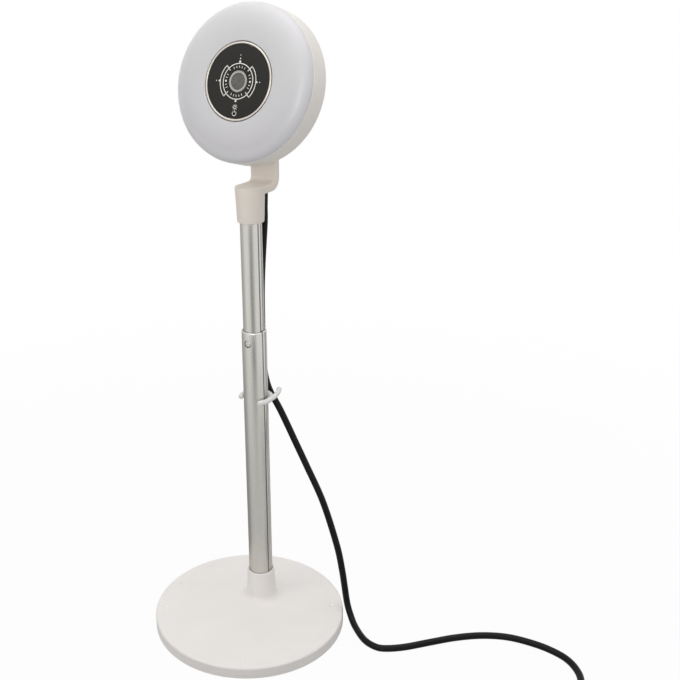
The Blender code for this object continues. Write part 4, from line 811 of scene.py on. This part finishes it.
def makePrint(s):
    line, reach, out = s["line"], s["bracketReach"], []
    for side, middle in ((1, 0), (-1, 180)):
        out.append(arcOutline(s["bracket"], line, middle - reach, middle + reach))
        out += [dotOutline(side * u, 0, radius) for u, radius in s["sideDots"]]
        out += [spokeOutline(middle + turn, *s["tick"]) for turn in s["sideTicks"]]
        out += [spokeOutline(middle + 90 + turn, *s["tick"]) for turn in s["endTicks"]]
    out += [spokeOutline(turn, *s["spoke"], line) for turn in s["spokeTurns"]]
    out += [dotOutline(0, v, radius) for v, radius in s["endDots"]]
    # a plain brightness mark and a plain standby mark below the dial
    out.append(arcOutline(s["sunRadius"], s["markLine"], 0, 350, 28, s["sunPlace"]))
    out += [spokeOutline(turn, *s["sunRay"], s["sunPlace"]) for turn in range(0, 360, 45)]
    out.append(arcOutline(s["standbyRadius"], s["markLine"], *s["standbyArc"], 40, s["standbyPlace"]))
    out.append(spokeOutline(90, *s["standbyBar"], s["standbyPlace"]))
    surfaces = [slabSurface(outline, s["low"], s["high"], headSeat) for outline in out]
    ring = rectangle(s["ring"] - line / 2, s["ring"] + line / 2, s["low"], s["high"])
    surfaces.append(turnedSurface(ring, 160, headSeat))
    addPiece("panelPrint", surfaces, "printCream", "head", sharp=30)


makePrint(printSettings)
print("stage: panel")


# hinge and fasteners

hingeSettings = {
    "innerFace": 0.0058, "ear": 0.0057, "earRadius": 0.0062, "earSink": 0.0008,
    "plateFront": 0.0087, "plateDepth": 0.0027, "plateHeight": 0.020, "plateMargin": 0.0014,
    "plateCorner": 0.002, "housingGap": 0.0003, "edge": 0.0007,
}


def makeHinge(s):
    outer = s["innerFace"] + s["ear"]
    front, rear = s["plateFront"], s["plateFront"] - s["plateDepth"]
    half, width = s["plateHeight"] / 2, outer + s["plateMargin"]
    outline = softCorners(rectangle(-width, width, -half, half), [s["plateCorner"]] * 4, 6)
    plate = slabSurface(outline, rear, front - s["housingGap"], hingeSeat)
    addPiece("hingePlate", [plate], "warmWhite", "head", ["hinge_block"], bevel=s["edge"])
    root, radius = rear + s["earSink"], s["earRadius"]
    ear = np.concatenate([[(root, -radius), (root, radius)], arcPoints(radius, 90, 270, 40)])
    ears = [slabSurface(ear, low, low + s["ear"], pinSeat) for low in (-outer, s["innerFace"])]
    addPiece("hingeEars", ears, "warmWhite", "head", ["hinge_block"], bevel=s["edge"])


makeHinge(hingeSettings)

screwSettings = {
    # nodes: body, way the head faces, head radius, head depth, shank radius, length (0: as the node)
    ("housing_screw_1", "housing_screw_2", "housing_screw_3"):
        ("head", -faceNormal, 0.0028, 0.0016, 0.0014, 0.0136),
    ("hinge_screw_1", "hinge_screw_2"): ("head", -faceNormal, 0.0021, 0.0011, 0.0012, 0.0086),
    ("hinge_pin",): ("head", -sideways, 0.0040, 0.0022, 0.0019, 0.0294),
    ("neck_screw",): ("mast", (0, 1, 0), 0.0026, 0.0016, 0.0014, 0.0056),
    ("base_screw_1", "base_screw_2", "base_screw_3"): ("base", (0, 0, -1), 0.0030, 0.0010, 0.0015, 0.0),
}
# width and reach are shares of the head's radius, depth and dome of its depth
recess = {"width": 0.24, "reach": 0.60, "depth": 0.60, "dome": 0.6, "clear": 0.002}
screwEdges = {"head": 0.0001, "tip": 0.0002}


def makeScrew(node, body, forward, radius, depth, shank, length):
    # a domed head on a plain shank, turned about the way the head faces, with a cross cut into it
    low, high = nodeBox(node)
    forward = unit(forward)
    lift = faceUp if abs(forward @ sideways) > 0.9 else unit(np.cross(forward, sideways))
    seat = ((low + high) / 2, np.array([unit(np.cross(lift, forward)), lift, forward]))
    top = (length or high[2] - low[2]) / 2
    under = top - depth
    corners = [(0, top), (radius, top), (radius, under), (shank, under), (shank, -top), (0, -top)]
    edges = [0, depth * recess["dome"], screwEdges["head"], 0, screwEdges["tip"], 0]
    blank = turnedSurface(softCorners(corners, edges, 6), 40, seat, False)
    half, out = radius * recess["width"] / 2, radius * recess["reach"]
    cross = [(-half, -out), (half, -out), (half, -half), (out, -half), (out, half), (half, half),
             (half, out), (-half, out), (-half, half), (-out, half), (-out, -half), (-half, -half)]
    cut = slabSurface(cross, top - depth * recess["depth"], top + recess["clear"], seat)
    addPiece(node.replace("_", "") + "Cap", [blank], "screwSteel", body, [node],
             [("DIFFERENCE", [cut])])


for nodes, values in screwSettings.items():
    for node in nodes:
        makeScrew(node, *values)

nutSettings = {"radius": 0.0042, "hole": 0.0022, "edge": 0.0003, "clear": 0.001}


def makeNut(s):
    # a hexagon slab along the pin with softened corners and a round hole
    low, high = (corner[0] for corner in nodeBox("hinge_nut"))
    hexagon = slabSurface(circlePoints(s["radius"], 6), low, high, pinSeat)
    hole = slabSurface(circlePoints(s["hole"], 40), low - s["clear"], high + s["clear"], pinSeat)
    addPiece("hingeNutHex", [hexagon], "screwSteel", "head", ["hinge_nut"],
             [("DIFFERENCE", [hole])], bevel=s["edge"])


makeNut(nutSettings)

footSettings = {"count": 4, "topEdge": 0.0002, "lowEdge": 0.0006}


def makeFeet(s):
    for i in range(1, s["count"] + 1):
        node = f"base_foot_{i}"
        low, high = nodeBox(node)
        section = softCorners(rectangle(0, (high[0] - low[0]) / 2, high[2], 0),
                              [0, s["topEdge"], s["lowEdge"], 0])
        foot = turnedSurface(section, 64, (nodeMiddle(node) * [1, 1, 0], upright), False)
        addPiece(f"rubberFoot{i}", [foot], "blackRubber", "base", [node])


makeFeet(footSettings)
print("stage: hinge, screws and feet")


# clip

clipSettings = {
    "rod": 0.0024, "gap": 0.0003, "start": -42, "end": 202, "height": 0.2255,
    "hookRod": 0.00228, "hookSpacing": 0.0008,
    # the hook's route, from the ring's outside at the clip's height
    "hook": ((-0.002676, 0.0010, 0.0002), (-0.0008, 0.0050, 0.0012), (-0.0002, 0.0090, 0.0026),
             (-0.0004, 0.0130, 0.0038), (-0.0016, 0.0165, 0.0048)),
}


def makeClip(s):
    # an open ring round the tube and a short upturned hook, both round rods
    ring = tubeSettings["outerRadius"] + s["gap"] + s["rod"]
    path = liftedRings([arcPoints(ring, s["start"], s["end"], 90)], [s["height"]])
    hook = smoothRoute(np.array(s["hook"]) + [ring + s["rod"], 0, s["height"]], s["hookSpacing"])
    surfaces = [rodSurface(path + mastMiddle, s["rod"], 24, True),
                rodSurface(hook + mastMiddle, s["hookRod"], 24, True)]
    addPiece("cableHook", surfaces, "clipWhite", "clip", ["cable_clip"])


makeClip(clipSettings)
print("stage: clip")


# cord: one unbroken tube from the gland to the plug, on the route that the frame's own solids follow

cordSettings = {
    "radius": 0.0031, "spacing": 0.0022, "sides": 22, "lay": 0.0033, "stillBelow": 0.236,
    "runIn": (0.0186, 0.0124, 0.0062), "coilCentre": (0.345, 0.020), "coilRadius": 0.042,
    "coilStep": 0.0068, "coilLift": 0.0010, "layerTurns": 2.5, "climbTurns": 0.5, "turnPoints": 90,
    "plugHeight": 0.0047,
    "tailDrops": ((0.0062, 0.0), (0.0124, 0.0), (0.0262, 0.02), (0.0402, 0.28), (0.0542, 0.72),
                  (0.0682, 0.97), (0.0805, 1.0)),
}
lay = cordSettings["lay"]
hangRoute = [
    (0.0, 0.0435, 0.3974), (0.0, 0.0433, 0.385), (-0.0010, 0.0422, 0.365), (-0.0021, 0.0412, 0.345),
    (-0.0033, 0.0408, 0.320), (-0.0040, 0.0413, 0.290), (-0.0041, 0.0415, 0.265), (-0.0034, 0.0415, 0.248),
    (-0.0011, 0.0415, 0.2355), (0.0030, 0.0416, 0.2245), (0.0123, 0.0430, 0.2078), (0.0215, 0.0443, 0.189),
    (0.0278, 0.0450, 0.1760), (0.0387, 0.0455, 0.155), (0.0558, 0.0460, 0.121), (0.0705, 0.0460, 0.079),
    (0.0762, 0.0460, 0.0535), (0.0787, 0.0460, 0.038), (0.0822, 0.0452, 0.0195), (0.0880, 0.0420, 0.0085),
    (0.0968, 0.0346, 0.0040), (0.1118, 0.0232, lay), (0.1245, 0.0193, lay), (0.1340, 0.0216, lay),
    (0.1482, 0.0324, lay), (0.1652, 0.0506, lay), (0.1826, 0.0688, lay), (0.2014, 0.0838, lay),
    (0.2212, 0.0936, lay), (0.2408, 0.0972, lay), (0.2615, 0.0968, lay), (0.2803, 0.0910, lay),
    (0.2945, 0.0772, lay), (0.3015, 0.0590, lay), (0.3030, 0.0450, lay + 0.0004),
]


def coilPath(s):
    # radius = inner + step * |turns from the middle|; height climbs one step about the middle
    turns = np.arange(int(2 * s["layerTurns"] * s["turnPoints"]) + 1) / s["turnPoints"]
    off = turns - s["layerTurns"]
    r = s["coilRadius"] - s["coilStep"] * s["layerTurns"] + s["coilStep"] * np.abs(off)
    climb = np.clip(off / s["climbTurns"] + 0.5, 0, 1)
    z = s["radius"] + s["coilLift"] + s["coilStep"] * climb ** 2 * (3 - 2 * climb)
    a, (x, y) = math.pi + math.tau * turns, s["coilCentre"]
    return np.column_stack([x + r * np.cos(a), y + r * np.sin(a), z])


plugSettings = {
    "edge": 0.0018, "corner": 0.0030, "roundStart": 0.2, "relief": 0.014, "reliefRadius": 0.0034,
    "reliefGrow": 0.0006, "ribs": 5, "ribHeight": 0.00035, "overlap": 0.001,
}


def makePlug(s):
    # the grip's outline scaled along its length: closed to a point at each end, then rounded out
    low, high = nodeBox("plug_grip")
    middle, relief, edge = (low + high) / 2, s["relief"], s["edge"]
    plugSeat = (np.array([middle[0], high[1], middle[2]]), forwardAxes)
    wide, far, tall = (high - low) * [0.5, 1, 0.5]
    outline = softCorners(rectangle(-wide, wide, -tall, tall), [s["corner"]] * 4, 8)
    t = np.linspace(s["roundStart"], math.pi / 2, 6)
    rise, inset = edge * (1 - np.cos(t)), edge * (1 - np.sin(t))
    along = np.concatenate([[relief], relief + rise, far - rise[::-1], [far]])
    shrink = np.concatenate([[0], inset, inset[::-1], [0]])
    scale = np.stack([(wide - shrink) / wide, (tall - shrink) / tall], 1)
    scale[[0, -1]] = 0.0
    rings = liftedRings([outline * share for share in scale], along)
    grip = (seated(rings, plugSeat), gridFaces(len(along), len(outline)))
    # relief: a taper with soft ribs, radius + rib * sin^2
    h = np.linspace(0, relief + s["overlap"], 60)
    ribs = s["ribHeight"] * np.sin(h / relief * math.pi * s["ribs"]) ** 2
    r = s["reliefRadius"] + s["reliefGrow"] * h / relief + ribs
    taper = np.concatenate([[(0, h[0])], np.column_stack([r, h]), [(0, h[-1])]])
    surfaces = [grip, turnedSurface(taper, 48, plugSeat, False)]
    return addPiece("plugGrip", surfaces, "blackJacket", "base", ["plug_grip"])


tieSettings = {"strip": 0.00065, "width": 0.010, "corner": 0.003}


def makeTie(s):
    # a rounded rectangle as a closed band, outside and inside
    low, high = nodeBox("cord_tie")
    thin, (wide, tall) = s["strip"], (high - low)[1:]
    outside = softCorners(rectangle(0, wide, 0, tall), [s["corner"]] * 4, 8)
    inside = softCorners(rectangle(thin, wide - thin, thin, tall - thin), [s["corner"] - thin] * 4, 8)
    rings = liftedRings((outside, outside, inside, inside), (0, s["width"], s["width"], 0))
    band = (seated(rings, (low, acrossAxes)), gridFaces(4, len(outside), True))
    return addPiece("leadTie", [band], "blackRubber", "base", ["cord_tie"])


def makeCord(s):
    coil = coilPath(s)
    runIn = [tuple(coil[0] + [0, y, 0]) for y in s["runIn"]]
    lead = smoothRoute(hangRoute + runIn, s["spacing"])
    drop = s["plugHeight"] - coil[-1, 2]
    tail = [coil[-1]] + [coil[-1] + [0, -y, drop * share] for y, share in s["tailDrops"]]
    tail = smoothRoute(tail, s["spacing"])
    path = evenPath(np.concatenate([lead, coil, tail[1:]]), s["spacing"])
    cord = addPiece("powerLead", [rodSurface(path, s["radius"], s["sides"])], "blackJacket")
    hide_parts("cord_upper", "cord_lower", "cord_coil", "cord_tail")
    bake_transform(cord)
    plug = [frame["nodes"][name] for name in ("plug_shell", "plug_tongue")]
    plug += [makePlug(plugSettings), makeTie(tieSettings)]


glandSettings = {"radius": 0.0036, "lowRadius": 0.0032, "straight": 0.006, "bend": 0.003, "edge": 0.0003}


def makeGland(s):
    low, high = nodeBox("cord_gland")
    top, bottom, radius = high[2], low[2], s["radius"]
    section = softCorners([(0, top), (radius, top), (radius, top - s["straight"]),
                           (s["lowRadius"], bottom), (0, bottom)], [0, 0, s["bend"], s["edge"], 0], 6)
    sleeve = turnedSurface(section, 48, ((low + high) / 2 * [1, 1, 0], upright), False)
    addPiece("leadGland", [sleeve], "blackJacket", "mast", ["cord_gland"])


makeCord(cordSettings)
makeGland(glandSettings)
print("stage: cord")


# camera, floor and light

viewSettings = {
    "place": (0.45687, -0.66661, 0.59960), "yaw": 33.771, "pitch": 21.106, "roll": -1.753,
    "focal": 1000.0, "frame": 680.0, "centre": (250.9, 340.5), "sensor": 36.0, "near": 0.01, "far": 50,
}


def standAt(thing, place, right, up, back):
    turn = Matrix(np.column_stack([right, up, back]).tolist()).to_4x4()
    turn.translation = place
    thing.matrix_world = turn


def makeCamera(s):
    yaw, pitch, roll = (math.radians(s[k]) for k in ("yaw", "pitch", "roll"))
    level = np.array([math.cos(yaw), math.sin(yaw), 0])
    ahead = np.array([-math.sin(yaw), math.cos(yaw), 0])
    forward = math.cos(pitch) * ahead - [0, 0, math.sin(pitch)]
    up = np.cross(level, forward)
    data = bpy.data.cameras.new("photoCamera")
    data.sensor_width = s["sensor"]
    data.lens = s["sensor"] * s["focal"] / s["frame"]
    data.shift_x = 0.5 - s["centre"][0] / s["frame"]
    data.shift_y = s["centre"][1] / s["frame"] - 0.5
    data.clip_start, data.clip_end = s["near"], s["far"]
    camera = linked("photoCamera", data)
    standAt(camera, s["place"], math.cos(roll) * level + math.sin(roll) * up,
            math.cos(roll) * up - math.sin(roll) * level, -forward)
    bpy.context.scene.camera = camera


makeCamera(viewSettings)

lightSettings = {
    "world": 0.53,
    "lamps": (
        # name, place, aim, size, spread, power, colour
        ("softKey", (-0.6, -1.3, 1.9), (0, 0, 0.30), 1.6, 180, 8.0, (1.0, 0.99, 0.97)),
        ("softFront", (0.7, -1.5, 0.8), (0, 0, 0.50), 0.7, 50, 0.55, (1.0, 0.99, 0.98)),
        ("softTop", (0.45, 0.5, 3.1), (0, 0, 0.30), 3.2, 180, 31.0, (1.0, 0.99, 0.98)),
    ),
}


def clearRays(tree):
    # 1 for camera, glossy and transmission rays, 0 for the light that falls on things
    rays = tree.nodes.new("ShaderNodeLightPath").outputs
    seen = mathNode(tree, "MAXIMUM", rays["Is Camera Ray"], rays["Is Glossy Ray"])
    return mathNode(tree, "MAXIMUM", seen, rays["Is Transmission Ray"])


def makeLights(s):
    world = bpy.data.worlds.new("studio")
    bpy.context.scene.world = world
    world.use_nodes = True
    tree = world.node_tree
    back = tree.nodes["Background"]
    back.inputs["Color"].default_value = (1, 1, 1, 1)
    strength = softStep(tree, clearRays(tree), 0.0, 1.0, s["world"], 1.0)
    tree.links.new(strength, back.inputs["Strength"])
    for name, place, aim, size, spreadTurn, power, colour in s["lamps"]:
        data = bpy.data.lights.new(name, "AREA")
        data.shape, data.size, data.energy, data.color = "DISK", size, power, colour
        data.spread = math.radians(spreadTurn)
        away = unit(np.array(place) - np.array(aim))
        across = unit(np.cross([0, 0, 1], away))
        standAt(linked(name, data), place, across, np.cross(away, across), away)


makeLights(lightSettings)

floorSettings = {"half": 6.0, "colour": (0.42, 0.42, 0.42), "near": 0.35, "far": 1.1, "nearWhite": 0.97}
# painted reflection: where the glowing ring lies and how grey its bands are
paintedReflectionSettings = {
    "height": 0.0001, "inner": 0.10, "outer": 2.2, "near": 0.22, "far": 0.95, "nearLevel": 0.66,
    "turn": -62.0, "clearTurn": 36.0, "darkTurn": 4.0, "shade": 0.92,
    "sideTurn": 128.0, "sideFull": 168.0, "sideShade": 0.40,
}
stageRoughness = 0.9


def whiteToLens(material, shader, fade):
    # seen by the camera or in a reflection the surface glows plain white; light still falls on it
    tree = material.node_tree
    glow = tree.nodes.new("ShaderNodeEmission")
    glow.inputs["Strength"].default_value = 1.0
    mix = tree.nodes.new("ShaderNodeMixShader")
    tree.links.new(mathNode(tree, "MULTIPLY", clearRays(tree), fade), mix.inputs["Fac"])
    tree.links.new(shader.outputs["BSDF"], mix.inputs[1])
    tree.links.new(glow.outputs["Emission"], mix.inputs[2])
    tree.links.new(mix.outputs["Shader"], tree.nodes["Material Output"].inputs["Surface"])


def flatSheet(name, corners, faces, material):
    mesh = bpy.data.meshes.new(name)
    mesh.from_pydata(corners.tolist(), [], faces)
    mesh.materials.append(material)
    sheet = linked(name, mesh)
    return sheet


def makeFloor(s):
    material, tree, shader, coords = startMaterial("paleFloor", stageRoughness)
    shader.inputs["Base Color"].default_value = (*s["colour"], 1)
    reach = tree.nodes.new("ShaderNodeVectorMath")
    reach.operation = "LENGTH"
    tree.links.new(coords, reach.inputs[0])
    fade = softStep(tree, reach.outputs["Value"], s["near"], s["far"], s["nearWhite"], 1.0)
    whiteToLens(material, shader, fade)
    corners = liftedRings([rectangle(-s["half"], s["half"], -s["half"], s["half"])], [0])
    flatSheet("paleFloor", corners, [(0, 1, 2, 3)], material)


def makePaintedReflection(s):
    # painted reflection: a glowing ring on the floor that only reflections see, white, greyer close in, in
    # a soft band on the viewer's side and towards -x, which paints the darker bands of a room behind a
    # camera into bright metal
    material, tree, shader, coords = startMaterial("paintedReflectionCard", stageRoughness)
    axes = splitAxes(tree, coords)
    squares = [mathNode(tree, "MULTIPLY", axes[k], axes[k]) for k in ("X", "Y")]
    reach = mathNode(tree, "SQRT", mathNode(tree, "ADD", *squares))
    turn = mathNode(tree, "ARCTAN2", axes["Y"], axes["X"])
    off = mathNode(tree, "ABSOLUTE", mathNode(tree, "SUBTRACT", turn, math.radians(s["turn"])))
    turns = ("darkTurn", "clearTurn", "sideTurn", "sideFull")
    dark, clear, sideTurn, sideFull = (math.radians(s[k]) for k in turns)
    band = softStep(tree, off, dark, clear, s["shade"], 0.0)
    band = mathNode(tree, "MULTIPLY", band, softStep(tree, reach, s["near"], s["far"], 0.0, 1.0))
    level = softStep(tree, reach, s["inner"], s["far"], s["nearLevel"], 1.0)
    eitherWay = mathNode(tree, "ABSOLUTE", turn)
    side = softStep(tree, eitherWay, sideTurn, sideFull, 1.0, 1.0 - s["sideShade"])
    level = mathNode(tree, "MULTIPLY", level, side)
    strength = mathNode(tree, "MULTIPLY", level, mathNode(tree, "SUBTRACT", 1.0, band))
    glow = tree.nodes.new("ShaderNodeEmission")
    tree.links.new(strength, glow.inputs["Strength"])
    tree.links.new(glow.outputs["Emission"], tree.nodes["Material Output"].inputs["Surface"])
    outlines = [circlePoints(s[k], 96) for k in ("inner", "outer")]
    card = flatSheet("paintedReflectionCard", liftedRings(outlines, [s["height"]] * 2), gridFaces(2, 96), material)
    card.visible_camera = card.visible_diffuse = card.visible_shadow = card.visible_transmission = False


makeFloor(floorSettings)
makePaintedReflection(paintedReflectionSettings)
bpy.context.scene.view_settings.view_transform = "Standard"
print("stage: camera, floor and light")
